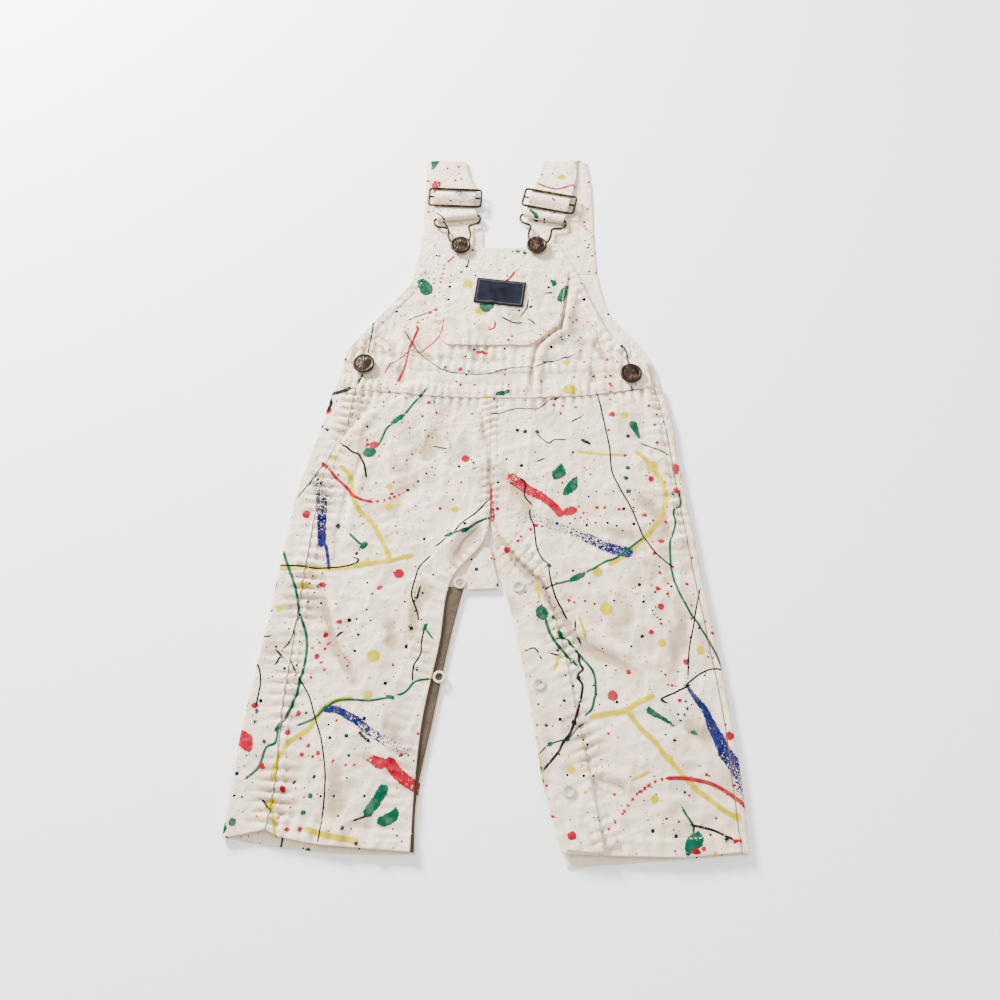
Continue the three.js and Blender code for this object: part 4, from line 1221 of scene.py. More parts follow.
@dataclass(frozen=True)
class TwillFinish:
    """Washed cream cotton twill with the spattered print, and painted shade in its creases."""

    cloth: tuple[float, float, float] = (0.84, 0.715, 0.55)
    worn: tuple[float, float, float] = (0.72, 0.565, 0.38)
    # Painted shade: the colour that creases and stitch grooves darken towards.
    crease_shade: tuple[float, float, float] = (0.34, 0.24, 0.15)
    printed: bool = True
    rib_scale: float = 330.0  # twill ribs in a metre

    def material(self, name: str) -> bpy.types.Material:
        """Builds the cloth's material."""
        n = Nodes(name)
        patches = n.ramp(n.noise(26, 4), 0.36, 0.68)
        colour = n.blend(n.math("MULTIPLY", patches, 0.55), self.cloth, self.worn)
        flecks = n.ramp(n.noise(1500, 2), 0.30, 0.72, (0.0, 0.10))
        colour = n.blend(flecks, colour, self.worn)
        # Painted shade: the deeper the cloth sinks in a crease or stitch groove, the nearer its colour comes
        # to the shade colour.
        sunk = n.attribute("sunk").outputs["Fac"]
        colour = n.blend(n.ramp(sunk, -0.05, -1.25, (0.0, 0.80)), colour, self.crease_shade)
        if self.printed:
            colour = self._print(n, self._spatter(n, colour))
        n.feed(n.shader.inputs["Base Color"], colour)
        n.shader.inputs["Roughness"].default_value = 0.93
        n.shader.inputs["Specular IOR Level"].default_value = 0.06
        self._weave(n)
        return n.material

    def _weave(self, n: Nodes) -> None:
        """The diagonal ribs of the twill over the soft lumps of washed cloth."""
        ribs = n.add("ShaderNodeTexWave", wave_type="BANDS", bands_direction="X")
        n.feed(ribs.inputs["Vector"], n.stretched((1, 1, 1), 62))
        ribs.inputs["Scale"].default_value = self.rib_scale
        ribs.inputs["Distortion"].default_value = 1.2
        ribs.inputs["Detail"].default_value = 1.0
        lumps = n.bump(n.noise(150, 5), 0.75, 0.0030)
        fine = n.bump(n.noise(520, 3), 0.55, 0.0007, lumps)
        n.feed(n.shader.inputs["Normal"], n.bump(ribs.outputs["Fac"], 0.45, 0.00030, fine))

    def _spatter(self, n: Nodes, colour: object) -> object:
        """Fine drops thrown over the whole cloth, each cell with a drop of its own size and paint."""
        flat = n.stretched((1, 1, 0))
        crowd = n.ramp(n.noise(24, 2), 0.34, 0.66, (0.35, 1.25))
        sizes = ((95.0, 0.125, 0.62), (170.0, 0.15, 0.60), (310.0, 0.18, 0.42))
        for scale, radius, share in sizes:
            cells = n.add("ShaderNodeTexVoronoi", voronoi_dimensions="2D", feature="F1")
            n.feed(cells.inputs["Vector"], flat)
            cells.inputs["Scale"].default_value = scale
            parts = n.add("ShaderNodeSeparateColor")
            n.feed(parts.inputs[0], cells.outputs["Color"])
            size = n.math("MULTIPLY", n.math("POWER", parts.outputs[1], 1.8), radius)
            wobble = n.math("MULTIPLY", n.math("SUBTRACT", n.noise(scale * 9, 1, flat), 0.5), radius * 0.5)
            gap = n.math("SUBTRACT", n.math("ADD", cells.outputs["Distance"], wobble), size)
            drop = n.ramp(gap, 0.012, -0.012)
            chosen = n.math("LESS_THAN", parts.outputs[0], n.math("MULTIPLY", crowd, share))
            pick = n.add("ShaderNodeValToRGB")
            pick.color_ramp.interpolation = "CONSTANT"
            turns = ((0.0, K), (0.36, R), (0.70, G), (0.83, B), (0.93, Y))
            while len(pick.color_ramp.elements) < len(turns):
                pick.color_ramp.elements.new(0.5)
            for element, (at, paint) in zip(pick.color_ramp.elements, turns):
                element.position = at
                element.color = (*paint.value, 1.0)
            n.feed(pick.inputs[0], parts.outputs[2])
            colour = n.blend(n.math("MULTIPLY", drop, chosen), colour, pick.outputs[0])
        return colour

    def _print(self, n: Nodes, colour: object) -> object:
        """The charted marks, one paint over another."""
        dry = n.attribute("dry").outputs["Fac"]
        edge = n.math("MULTIPLY", n.math("SUBTRACT", n.noise(760, 4), 0.5), 2.1)
        grain = n.noise(900, 4, n.stretched((1.0, 1.0, 1.0), 30))
        for paint in Paint:
            parts = n.add("ShaderNodeSeparateXYZ")
            n.feed(parts.inputs[0], n.attribute(paint.name.lower()).outputs["Vector"])
            shape, across, away = parts.outputs
            ragged = n.math("ADD", shape, edge)
            solid = n.ramp(ragged, 0.22, -0.22)
            bare = n.math("GREATER_THAN", n.math("ADD", dry, -0.02), n.math("MULTIPLY_ADD", grain, 2.2, -0.6))
            solid = n.math("MULTIPLY", solid, n.math("SUBTRACT", 1.0, bare))
            thin = n.ramp(n.math("ABSOLUTE", across), 1.75, 0.9)
            thin = n.math("MULTIPLY", thin, n.ramp(away, 2.6, 1.9))
            broken = n.ramp(n.noise(260, 2), 0.22, 0.34)
            thin = n.math("MULTIPLY", thin, broken)
            halo = n.ramp(shape, 2.6, -0.4, (0.0, 0.10))
            mask = n.math("MAXIMUM", n.math("MAXIMUM", solid, thin), halo)
            strength = n.math("MULTIPLY", mask, n.ramp(n.noise(190, 3), 0.25, 0.6, (0.94, 1.0)))
            colour = n.blend(strength, colour, paint.value)
        return colour


@dataclass(frozen=True)
class ThreadFinish:
    """Cream sewing thread with its twist."""

    colour: tuple[float, float, float] = (0.72, 0.64, 0.53)

    def material(self, name: str) -> bpy.types.Material:
        """Builds the thread's material."""
        n = Nodes(name)
        shade = n.ramp(n.noise(700, 2), 0.3, 0.7)
        n.feed(n.shader.inputs["Base Color"], n.blend(shade, self.colour, (0.80, 0.74, 0.65)))
        n.shader.inputs["Roughness"].default_value = 0.7
        n.feed(n.shader.inputs["Normal"], n.bump(n.noise(3200, 1), 0.4, 0.0002))
        return n.material


@dataclass(frozen=True)
class LabelFinish:
    """Plain navy woven label cloth."""

    ground: tuple[float, float, float] = (0.002, 0.0025, 0.007)
    raised: tuple[float, float, float] = (0.005, 0.006, 0.016)
    border: tuple[float, float, float] = (0.045, 0.042, 0.040)
    border_inset: float = 1.7
    border_half: float = 0.3

    def material(self, name: str) -> bpy.types.Material:
        """Builds the label's material."""
        n = Nodes(name)
        rows = n.add("ShaderNodeTexWave", wave_type="BANDS", bands_direction="Y")
        straight = n.stretched((1, 1, 1), -LABEL_LEAN)
        n.feed(rows.inputs["Vector"], straight)
        rows.inputs["Scale"].default_value = 700
        rows.inputs["Distortion"].default_value = 0.8
        worn = n.math("MULTIPLY", rows.outputs["Fac"], n.ramp(n.noise(160, 3), 0.3, 0.7, (0.5, 1)))
        colour = n.blend(worn, self.ground, self.raised)
        parts = n.add("ShaderNodeSeparateXYZ")
        n.feed(parts.inputs[0], straight)
        beyond = []
        for axis, (middle, half) in enumerate(zip(placed((0, 0), -LABEL_LEAN, *LABEL_CENTRE), LABEL_HALF)):
            off = n.math("ABSOLUTE", n.math("SUBTRACT", parts.outputs[axis], middle * MM))
            beyond.append(n.math("SUBTRACT", off, (half - self.border_inset) * MM))
        off_line = n.math("ABSOLUTE", n.math("MAXIMUM", *beyond))
        line_mask = n.ramp(off_line, (self.border_half + 0.1) * MM, self.border_half * MM)
        n.feed(n.shader.inputs["Base Color"], n.blend(line_mask, colour, self.border))
        n.shader.inputs["Roughness"].default_value = 0.8
        n.shader.inputs["Specular IOR Level"].default_value = 0.12
        n.feed(n.shader.inputs["Normal"], n.bump(rows.outputs["Fac"], 0.5, 0.0002))
        return n.material


@dataclass(frozen=True)
class BronzeFinish:
    """Dark aged bronze, rubbed brighter where it is handled."""

    dark: tuple[float, float, float] = (0.022, 0.014, 0.009)
    bright: tuple[float, float, float] = (0.14, 0.090, 0.045)

    def material(self, name: str) -> bpy.types.Material:
        """Builds the metal's material."""
        n = Nodes(name)
        rubbed = n.ramp(n.noise(240, 5), 0.50, 0.74)
        n.feed(n.shader.inputs["Base Color"], n.blend(rubbed, self.dark, self.bright))
        n.feed(n.shader.inputs["Roughness"], n.ramp(n.noise(480, 3), 0.3, 0.7, (0.30, 0.55)))
        n.shader.inputs["Metallic"].default_value = 0.85
        n.feed(n.shader.inputs["Normal"], n.bump(n.noise(900, 3), 0.35, 0.0002))
        return n.material


@dataclass(frozen=True)
class PlasticFinish:
    """Satin off-white moulded plastic."""

    colour: tuple[float, float, float] = (0.60, 0.53, 0.42)

    def material(self, name: str) -> bpy.types.Material:
        """Builds the plastic's material."""
        n = Nodes(name)
        dulled = n.ramp(n.noise(220, 3), 0.35, 0.75)
        n.feed(n.shader.inputs["Base Color"], n.blend(dulled, self.colour, (0.52, 0.45, 0.35)))
        n.feed(n.shader.inputs["Roughness"], n.ramp(n.noise(500, 2), 0.3, 0.7, (0.32, 0.48)))
        n.feed(n.shader.inputs["Normal"], n.bump(n.noise(1400, 2), 0.12, 0.0001))
        return n.material


@dataclass(frozen=True)
class FloorFinish:
    """A plain pale floor."""

    colour: tuple[float, float, float] = (0.97, 0.97, 0.97)

    def material(self, name: str) -> bpy.types.Material:
        """Builds the floor's material."""
        n = Nodes(name)
        n.feed(n.shader.inputs["Base Color"], (*self.colour, 1.0))
        n.shader.inputs["Roughness"].default_value = 0.9
        n.shader.inputs["Specular IOR Level"].default_value = 0.1
        return n.material


class Wardrobe:
    """Every finish of the overalls, each made once."""

    def __init__(self) -> None:
        """Builds the materials."""
        self.twill = TwillFinish().material("printed_twill")
        # The snap tape's twill has no print and is painted dark brown as the shade it lies in under the
        # front's edge.
        shaded = TwillFinish(cloth=(0.085, 0.064, 0.045), worn=(0.040, 0.030, 0.020), printed=False)
        self.shaded_tape_twill = shaded.material("painted_shade_tape_twill")
        self.thread = ThreadFinish().material("cream_thread")
        self.label = LabelFinish().material("navy_label_cloth")
        self.bronze = BronzeFinish().material("aged_bronze")
        self.plastic = PlasticFinish().material("white_snap_plastic")


# ---- meshes ---------------------------------------------------------------------------------


def mesh_object(name: str, points: Array, faces: Array, material: bpy.types.Material) -> bpy.types.Object:
    """A smooth-shaded mesh object at the origin.

    Args:
        name: The object's name.
        points: Its corners, in millimetres.
        faces: Four corners a face.
        material: Its one material.

    Returns:
        The new object, linked into the scene.
    """
    mesh = bpy.data.meshes.new(name)
    mesh.vertices.add(len(points))
    mesh.vertices.foreach_set("co", (points * MM).astype(np.float32).ravel())
    mesh.loops.add(faces.size)
    mesh.loops.foreach_set("vertex_index", faces.astype(np.int32).ravel())
    mesh.polygons.add(len(faces))
    mesh.polygons.foreach_set("loop_start", np.arange(0, faces.size, 4, dtype=np.int32))
    mesh.polygons.foreach_set("use_smooth", np.ones(len(faces), dtype=bool))
    mesh.update(calc_edges=True)
    mesh.validate()
    mesh.materials.append(material)
    made = bpy.data.objects.new(name, mesh)
    bpy.context.scene.collection.objects.link(made)
    return made


def stops(length: float, spacing: float, rounding: float = 0.6) -> Array:
    """Places from 0 to 1 along a length, with closer ones at both ends where the edge is rounded.

    Args:
        length: The length, in millimetres.
        spacing: The usual step.
        rounding: How far in the rounded edge reaches.

    Returns:
        The places, in order.
    """
    edge = np.array([0.0, 0.12, 0.42, 1.0]) * rounding
    count = max(2, round((length - 2 * rounding) / spacing))
    middle = np.linspace(rounding, length - rounding, count + 1)[1:-1]
    return np.concatenate([edge, middle, length - edge[::-1]]) / length


def edge_share(places: Array, length: float, rounding: float = 0.6) -> Array:
    """How much of the cloth's thickness is left at each place, from a rounded edge inwards."""
    inset = np.minimum(places, 1 - places) * length
    return np.sqrt(np.clip(1 - (1 - np.clip(inset / rounding, 0, 1)) ** 2, 0.05, 1))


@dataclass
class Cloth:
    """A wall of cloth about a grid of mid-points, with rounded edges.

    Fields:
        grid: Rows of mid-points, rows by columns by three.
        share: How much of the thickness each mid-point has.
        thickness: The cloth's thickness.
        face: 1 where the outer face is on the grid's upper side, -1 where it is on the lower.
    """

    grid: Array
    share: Array
    thickness: float = WALL
    face: int = 1

    def normals(self) -> Array:
        """Unit normals of the mid-surface."""
        across = np.gradient(self.grid, axis=1)
        along = np.gradient(self.grid, axis=0)
        normal = np.cross(across, along)
        return normal / np.linalg.norm(normal, axis=2, keepdims=True)

    def faces(self) -> Array:
        """The wall's faces, all pointing out."""
        rows, cols = self.grid.shape[:2]
        index = np.arange(rows * cols).reshape(rows, cols)
        under = index + rows * cols

        def quads(a: Array, b: Array, c: Array, d: Array) -> Array:
            """Faces of four corners from four grids of indices."""
            return np.stack([a.ravel(), b.ravel(), c.ravel(), d.ravel()], axis=1)

        return np.concatenate([
            quads(index[:-1, :-1], index[:-1, 1:], index[1:, 1:], index[1:, :-1]),
            quads(under[:-1, :-1], under[1:, :-1], under[1:, 1:], under[:-1, 1:]),
            quads(index[:-1, 0], index[1:, 0], under[1:, 0], under[:-1, 0]),
            quads(index[1:, -1], index[:-1, -1], under[:-1, -1], under[1:, -1]),
            quads(index[0, 1:], index[0, :-1], under[0, :-1], under[0, 1:]),
            quads(index[-1, :-1], index[-1, 1:], under[-1, 1:], under[-1, :-1]),
        ])

    def build(
        self,
        name: str,
        material: bpy.types.Material,
        marks: Sequence[Mark] = (),
        underside_marks: Sequence[Mark] = (),
        both_faces: bool = False,
    ) -> bpy.types.Object:
        """Makes the wall's mesh and prints its outer face.

        Args:
            name: The piece's name.
            material: Its finish.
            marks: The print on faces that look up.
            underside_marks: The print on faces that look down.
            both_faces: Whether the inner face is printed too, as on a doubled strap.

        Returns:
            The piece.
        """
        normal = self.normals()
        half = (self.share * self.thickness / 2)[..., None] * normal
        upper, lower = (self.grid + half).reshape(-1, 3), (self.grid - half).reshape(-1, 3)
        made = mesh_object(name, np.concatenate([upper, lower]), self.faces(), material)
        up = normal[..., 2].ravel()
        fields = [
            self._print_fields(points, looks, marks, underside_marks, both_faces or self.face == side)
            for points, looks, side in ((upper, up, 1), (lower, -up, -1))
        ]
        for paint in Paint:
            store = made.data.attributes.new(paint.name.lower(), "FLOAT_VECTOR", "POINT")
            values = np.concatenate([face[paint] for face in fields]).astype(np.float32)
            store.data.foreach_set("vector", values.ravel())
        for key in ("dry", "sunk"):
            store = made.data.attributes.new(key, "FLOAT", "POINT")
            store.data.foreach_set("value", np.concatenate([f[key] for f in fields]).astype(np.float32))
        return made

    @staticmethod
    def _print_fields(
        points: Array,
        looks_up: Array,
        marks: Sequence[Mark],
        underside_marks: Sequence[Mark],
        printed: bool,
    ) -> dict[object, Array]:
        """The print's fields on one face of the cloth.

        Args:
            points: The face's points.
            looks_up: The Z of each point's normal.
            marks: The print where the face looks up.
            underside_marks: The print where it looks down.
            printed: False for a bare face.

        Returns:
            Each paint's three fields, how dry the brush was, and how far the cloth sinks, which the material
            paints as shade.
        """
        if not printed:
            bare = {paint: np.full((len(points), 3), Print.REACH) for paint in Paint}
            return {**bare, "dry": np.zeros(len(points)), "sunk": np.zeros(len(points))}
        x, y = points[:, 0], points[:, 1]
        top, top_dry = Print(marks).fields(x, y)
        below, below_dry = Print(underside_marks).fields(x, y)
        upward = looks_up > -0.1
        found: dict[object, Array] = {"dry": np.where(upward, top_dry, below_dry)}
        raised = upward & (points[:, 2] > WALL + GAP + WALL)
        # How far the cloth sinks in its creases, which the material paints as shade; faces that look down
        # take it from the back's folds.
        pressed = np.where(upward, 0.0, -UNDERSIDE_SHADE * back_lift(x, y))
        found["sunk"] = np.where(raised & (y < CREASE_SHADE_TOP), front_relief(x, y), pressed)
        for paint in Paint:
            parts = [
                np.where(upward, getattr(top[paint], part), getattr(below[paint], part))
                for part in ("shape", "across", "away")
            ]
            found[paint] = np.stack(parts, axis=1)
        return found


def dressed(piece: bpy.types.Object, slot: str, *nodes: str) -> bpy.types.Object:
    """Gives a piece its body and hides the solids that it stands for."""
    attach(piece, "root")
    if nodes:
        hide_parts(*nodes)
    log.info("%s: %d faces", piece.name, len(piece.data.polygons))
    return piece


def laid(piece: bpy.types.Object) -> bpy.types.Object:
    """Hands a piece back as it is."""
    return piece


def own_side(side: int, x: Array) -> Array:
    """Keeps a leg's inner line on its own side of the centre seam."""
    seam = CENTRE_SEAM + side * GAP / 2
    return np.minimum(x, seam) if side < 0 else np.maximum(x, seam)


@dataclass(frozen=True)
class Panel:
    """A panel ruled between its two side lines. A row holds [side x, y, other side x, y].

    Fields:
        rows: The side lines' points, from the bottom up.
        height: The middle of the cloth above points.
        spacing: The mesh's step.
        top: The seam line that its top edge follows, if any.
        bottom: The seam line that its bottom edge follows, if any.
        side: -1 or 1 where it keeps to one side of the centre seam.
        thickness: The cloth's thickness.
    """

    rows: Sequence[Sequence[float]]
    height: Field
    spacing: float = FINE
    top: Callable[[Array], Array] | None = None
    bottom: Callable[[Array], Array] | None = None
    side: int = 0
    thickness: float = WALL

    def cloth(self) -> Cloth:
        """The panel's wall of cloth."""
        table = np.array(self.rows, dtype=float)
        long = max(path_length(table[:, :2]), path_length(table[:, 2:]))
        wide = float(np.hypot(table[:, 2] - table[:, 0], table[:, 3] - table[:, 1]).max())
        v, u = stops(long, self.spacing), stops(wide, self.spacing)
        row = rows_at(self.rows, v)
        if self.side:
            row[:, 2] = own_side(self.side, row[:, 2])
        x = mix(row[:, 0:1], row[:, 2:3], u[None, :])
        y = mix(row[:, 1:2], row[:, 3:4], u[None, :])
        first, last = table[0], table[-1]
        near_top, near_bottom = v[:, None] ** 3, (1 - v[:, None]) ** 3
        moved = y.copy()
        if self.top:
            moved += (self.top(x) - mix(last[1], last[3], u)[None, :]) * near_top
        if self.bottom:
            moved += (self.bottom(x) - mix(first[1], first[3], u)[None, :]) * near_bottom
        grid = np.stack([x, moved, self.height(x, moved)], axis=2)
        share = np.minimum(edge_share(v, long)[:, None], edge_share(u, wide)[None, :])
        if x[0, 0] > x[0, -1]:  # ruled from right to left: turned round so that its upper side is up
            grid, share = grid[:, ::-1], share[:, ::-1]
        return self._upwards(grid, share)

    def _upwards(self, grid: Array, share: Array) -> Cloth:
        """The cloth with its rows in the order that puts its upper side up."""
        cloth = Cloth(grid, share, self.thickness)
        if cloth.normals()[..., 2].mean() < 0:
            cloth = Cloth(grid[::-1], share[::-1], self.thickness)
        return cloth


def centre(side: int) -> float:
    """The X of the centre seam's edge on one side."""
    return CENTRE_SEAM + side * GAP / 2


def below_waist(x: Array) -> Array:
    """The legs' edge along the waist seam."""
    return WAIST_SEAM(x) - GAP / 2 - LEAN_ROOM


def above_waist(x: Array) -> Array:
    """The waistband's and back bib's edge along the waist seam."""
    return WAIST_SEAM(x) + GAP / 2


@dataclass
class Legs:
    """The two front legs and the two back legs, with the closing between them."""

    hem_drop: float = 3.0  # the left back hem's sag below the front one
    roll_steps: int = 8
    length: float = 316.0  # the lengths that the mesh's steps are spread over
    flat_width: float = 110.0
    top_width: tuple[float, float] = (26.0, 4.0)  # the rolled-over tops of the left and right leg
    flat_to: float = 0.85  # where folds start to fade towards the roll
    back_rows: dict[int, list[tuple[float, ...]]] = field(default_factory=lambda: {
        -1: [
            (-149, -246, -39, -255, -124, -242),
            (-147, -214, -38.4, -222, -121.5, -214),
            (-144, -177, -31, -182, -121.5, -177),
            (-138, -131, -21.5, -131, -119, -134),
            (-133.5, -94, -12.8, -94, -116.5, -96),
            (-130, -62, -1, -84, -114, -66),
            (-126, -29, centre(-1), -50, -111, -32),
            (-120, -3, centre(-1), -15, -106, -3),
            (-115, 15, centre(-1), 14, -97, 17),
            (-107.5, 50.6, centre(-1), 41.9, -92, 49.4),
        ],
        1: [
            (149, -255, 46, -262, 144.5, -254),
            (148.8, -218, 35.5, -226, 143.6, -218),
            (146.5, -178, 28, -180, 142, -178),
            (142, -134, 20, -134, 137.5, -134),
            (137.5, -94, 11, -96, 133, -96),
            (134.5, -62, 4.5, -84, 130, -66),
            (131, -29, centre(1), -50, 126.5, -32),
            (128.5, -3, centre(1), -15, 124, -4),
            (127, 20, centre(1), 14, 122, 18),
            (121, 51.6, centre(1), 41.9, 116.5, 51.2),
        ],
    })
    front_inner: dict[int, list[Point]] = field(default_factory=lambda: {
        -1: [
            (-42, -254), (-41, -220), (-37.5, -178), (-29, -134), (-23, -93), (-3, -66.5),
            (centre(-1), -45), (centre(-1), -15), (centre(-1), 14), (centre(-1), 41.9),
        ],
        1: [
            (43, -254.5), (33.5, -218), (27.5, -176), (19, -132), (11, -94), (5.5, -70),
            (centre(1), -45), (centre(1), -15), (centre(1), 14), (centre(1), 41.9),
        ],
    })

    def front(self, side: int) -> Panel:
        """One front leg's panel."""
        back, inner = self.back_rows[side], self.front_inner[side]
        rows = [(b[4] - side * SIDE_GAP, b[5], x, y) for b, (x, y) in zip(back, inner)]
        hem = LEFT_HEM if side < 0 else RIGHT_HEM
        return Panel(
            rows, front_height, top=below_waist, bottom=lambda x: line_at(hem, x), side=side,
            spacing=FINE if side < 0 else 1.0,
        )

    def back(self, side: int) -> Cloth:
        """One back leg: flat on the surface, rolled over its outer edge, and on to the side seam."""
        rows = self.back_rows[side]
        last = rows[-1]
        v = stops(self.length, MEDIUM)
        row = rows_at(rows, v)
        outer, seam = row[:, 0:2], row[:, 4:6]
        inner = np.column_stack([own_side(side, row[:, 2]), row[:, 3]])
        reach = np.linalg.norm(outer - inner, axis=1, keepdims=True)
        out = (outer - inner) / reach
        turn = outer - out * (EDGE_RADIUS + WALL / 2)
        hem_drop = self.hem_drop if side < 0 else 0.0
        flat_u = stops(self.flat_width, COARSE)[:-4]
        flat_u = flat_u / flat_u[-1]
        columns, shares = [], []
        for u in flat_u:
            drop = hem_drop * math.sin(math.pi * u) * (1 - v) ** 6
            xy = mix(inner, turn, u) - np.column_stack([np.zeros(len(v)), drop])
            lift = back_lift(xy[:, 0], xy[:, 1]) * (1 - smooth((u - self.flat_to) / 0.15))
            columns.append(np.column_stack([xy, BACK_LEVEL + lift]))
            shares.append(float(edge_share(np.array([u / 2]), 2 * self.flat_width)[0]))
        for k in range(1, self.roll_steps + 1):
            a = math.pi * k / self.roll_steps
            z = np.full(len(v), BACK_LEVEL + EDGE_RADIUS * (1 - math.cos(a)))
            columns.append(np.column_stack([turn + out * EDGE_RADIUS * math.sin(a), z]))
            shares.append(1.0)
        wide = self.top_width[0] if side < 0 else self.top_width[1]
        steps = stops(2 * wide, 1.0)
        top_u = 2 * (steps[steps > 0.5] - 0.5)
        for u in top_u:
            xy = mix(turn, seam, u)
            z = mix(LEG_LEVEL, front_height(xy[:, 0], xy[:, 1]), smooth(u))
            columns.append(np.column_stack([xy, z]))
            shares.append(float(edge_share(np.array([0.5 + u / 2]), 2 * wide)[0]))
        grid = np.stack(columns, axis=1)
        end = mix(last[1], last[3], np.clip((grid[..., 0] - last[0]) / (last[2] - last[0]), 0, 1))
        grid[..., 1] += (below_waist(grid[..., 0]) - end) * v[:, None] ** 3
        share = np.minimum(edge_share(v, self.length)[:, None], np.array(shares)[None, :])
        # The flat part's upper side looks up at the front, so the printed face is the lower one.
        if side > 0:
            return Cloth(grid, share, WALL, -1)
        return Cloth(grid[::-1], share[::-1], WALL, -1)

    def build(self, finishes: Wardrobe) -> None:
        """Makes the four leg pieces."""
        hidden_print = {
            -1: turned_over(ON_RIGHT_HIP + MOTIF + ON_RIGHT_LEG),
            1: turned_over(ON_LEFT_HIP + ON_LEFT_LEG),
        }
        shown_print = {
            -1: ON_LEFT_HIP + ON_LEFT_LEG,
            1: ON_RIGHT_HIP + MOTIF + ON_RIGHT_LEG,
        }
        side_print = {-1: ON_LEFT_HIP + ON_LEFT_LEG + ON_LEFT_SIDE, 1: shown_print[1]}
        for side, word in ((-1, "left"), (1, "right")):
            cloth = self.back(side)
            name = f"back_leg_{word}_cloth"
            piece = cloth.build(
                name, finishes.twill, side_print[side], hidden_print[side], both_faces=side < 0,
            )
            laid(dressed(piece, "twill", f"back_leg_{word}"))
            cloth = self.front(side).cloth()
            piece = cloth.build(f"front_leg_{word}_cloth", finishes.twill, shown_print[side])
            laid(dressed(piece, "twill", f"front_leg_{word}"))


@dataclass
class Closing:
    """The crotch flap and the two halves of the inner-leg closing."""

    flap: Sequence[tuple[float, ...]] = (
        (-12.4, -98, 8, -97), (-11.4, -83, 5, -82), (-2, -69.5, 2.5, -69.5),
    )
    placket: Sequence[tuple[float, ...]] = (
        (45, -253, 67, -255), (36.5, -222, 62, -222), (29.5, -176, 54, -176),
        (21, -132, 46, -131), (13, -95, 33, -90), (7.5, -72, 12, -66),
    )
    tape: Sequence[tuple[float, ...]] = (
        (-54, -253, -40, -254), (-53, -222, -39.4, -222), (-46, -182, -32, -182),
        (-36, -131, -22.5, -131), (-27, -96, -14, -95),
    )

    def build(self, finishes: Wardrobe) -> None:
        """Makes the three pieces."""
        trims = (
            ("crotch_flap", Panel(self.flap, level(FLAP_LEVEL), thickness=TRIM_WALL), "back_leg_left_cloth"),
            ("snap_placket", Panel(self.placket, on_front, thickness=TRIM_WALL), "front_leg_right_cloth"),
            ("snap_tape", Panel(self.tape, level(TAPE_LEVEL), thickness=TRIM_WALL), "back_leg_left_cloth"),
        )
        for name, panel, under in trims:
            cloth = panel.cloth()
            marks = ON_RIGHT_LEG + MOTIF + ON_RIGHT_HIP + ON_LEFT_LEG
            # The snap tape takes the twill that is painted dark as shade.
            finish = finishes.shaded_tape_twill if name == "snap_tape" else finishes.twill
            piece = cloth.build(f"{name}_cloth", finish, marks)
            laid(dressed(piece, "twill", name))


@dataclass
class Bib:
    """The waistband, the front and back bib, the pocket and its label."""

    back_rows: Sequence[tuple[float, ...]] = (
        (-107.5, 51, 121, 51.8), (-104, 64, 118, 68), (-97, 88, 108.5, 88), (-82, 110, 95, 105),
        (-68, 128, 87, 118), (-59, 141, 83, 134), (-55.7, NECKLINE, 80.7, NECKLINE),
    )
    front_rows: Sequence[tuple[float, ...]] = (
        (-100, 82, 112, 72.5), (-88, 100, 90, 90), (-75, 117, 81, 108), (-62, 134, 74, 126),
        (-52, 150, 67, 146), (-48, 166, 59, 164), (-46, 181, 52, 178),
    )
    pocket_rows: Sequence[tuple[float, ...]] = (
        (-29, 85, 30, 85), (-34, 92, 43, 93), (-34, 106, 53, 106), (-33, 130, 57, 130),
        (-32, 154, 59, 152),
    )
    waist_columns: Sequence[float] = (-103, -76, -40, 0, 36, 74, 114)
    waist_lean: float = -0.02

    def waist_rows(self) -> list[tuple[float, ...]]:
        """The waistband's columns, each [bottom x, y, top x, y], from its left end to its right."""
        rows = []
        for x in self.waist_columns:
            lean = self.waist_lean * x
            rows.append((x, float(above_waist(x)), x + lean, float(BIB_SEAM(x + lean)) - GAP / 2))
        return rows

    def label_rows(self) -> list[tuple[float, ...]]:
        """The label's lower and upper edges."""
        wide, tall = LABEL_HALF
        return [
            (*placed(LABEL_CENTRE, LABEL_LEAN, -wide, y), *placed(LABEL_CENTRE, LABEL_LEAN, wide, y))
            for y in (-tall, tall)
        ]

    def build(self, finishes: Wardrobe) -> None:
        """Makes the five pieces."""
        waist_print = ON_BIB + ON_WAIST_RIGHT + ON_RIGHT_HIP + MOTIF + ON_LEFT_HIP
        back = Panel(self.back_rows, back_height, spacing=1.6, bottom=above_waist).cloth()
        piece = back.build("back_bib_cloth", finishes.twill, (), turned_over(waist_print))
        laid(dressed(piece, "twill", "back_bib"))
        waist = Panel(self.waist_rows(), front_height).cloth()
        piece = waist.build("waistband_cloth", finishes.twill, waist_print)
        laid(dressed(piece, "twill", "waistband"))
        front = Panel(
            self.front_rows, front_height, top=lambda x: line_at(BIB_TOP, x),
            bottom=lambda x: BIB_SEAM(x) + GAP / 2,
        ).cloth()
        piece = front.build("front_bib_cloth", finishes.twill, ON_BIB)
        laid(dressed(piece, "twill", "front_bib"))
        pocket = Panel(self.pocket_rows, on_front, thickness=TRIM_WALL).cloth()
        piece = pocket.build("bib_pocket_cloth", finishes.twill, ON_BIB)
        laid(dressed(piece, "twill", "bib_pocket"))
        label = Panel(self.label_rows(), on_pocket, thickness=TRIM_WALL).cloth()
        piece = label.build("label_cloth", finishes.label)
        laid(dressed(piece, "label", "label"))


@dataclass(frozen=True)
class Buckle:
    """Where a strap's fastenings lie: its button, hook and slider."""

    side: str
    button: Point
    hook_lean: float
    slider: Point
    slider_lean: float
    side_button: Point


BUCKLES = (
    Buckle("left", (-21, 174), 7, (-26, 220.5), -3, (-87, 68)),
    Buckle("right", (36, 174), -12, (46.5, 217), -13, (100, 60)),
)


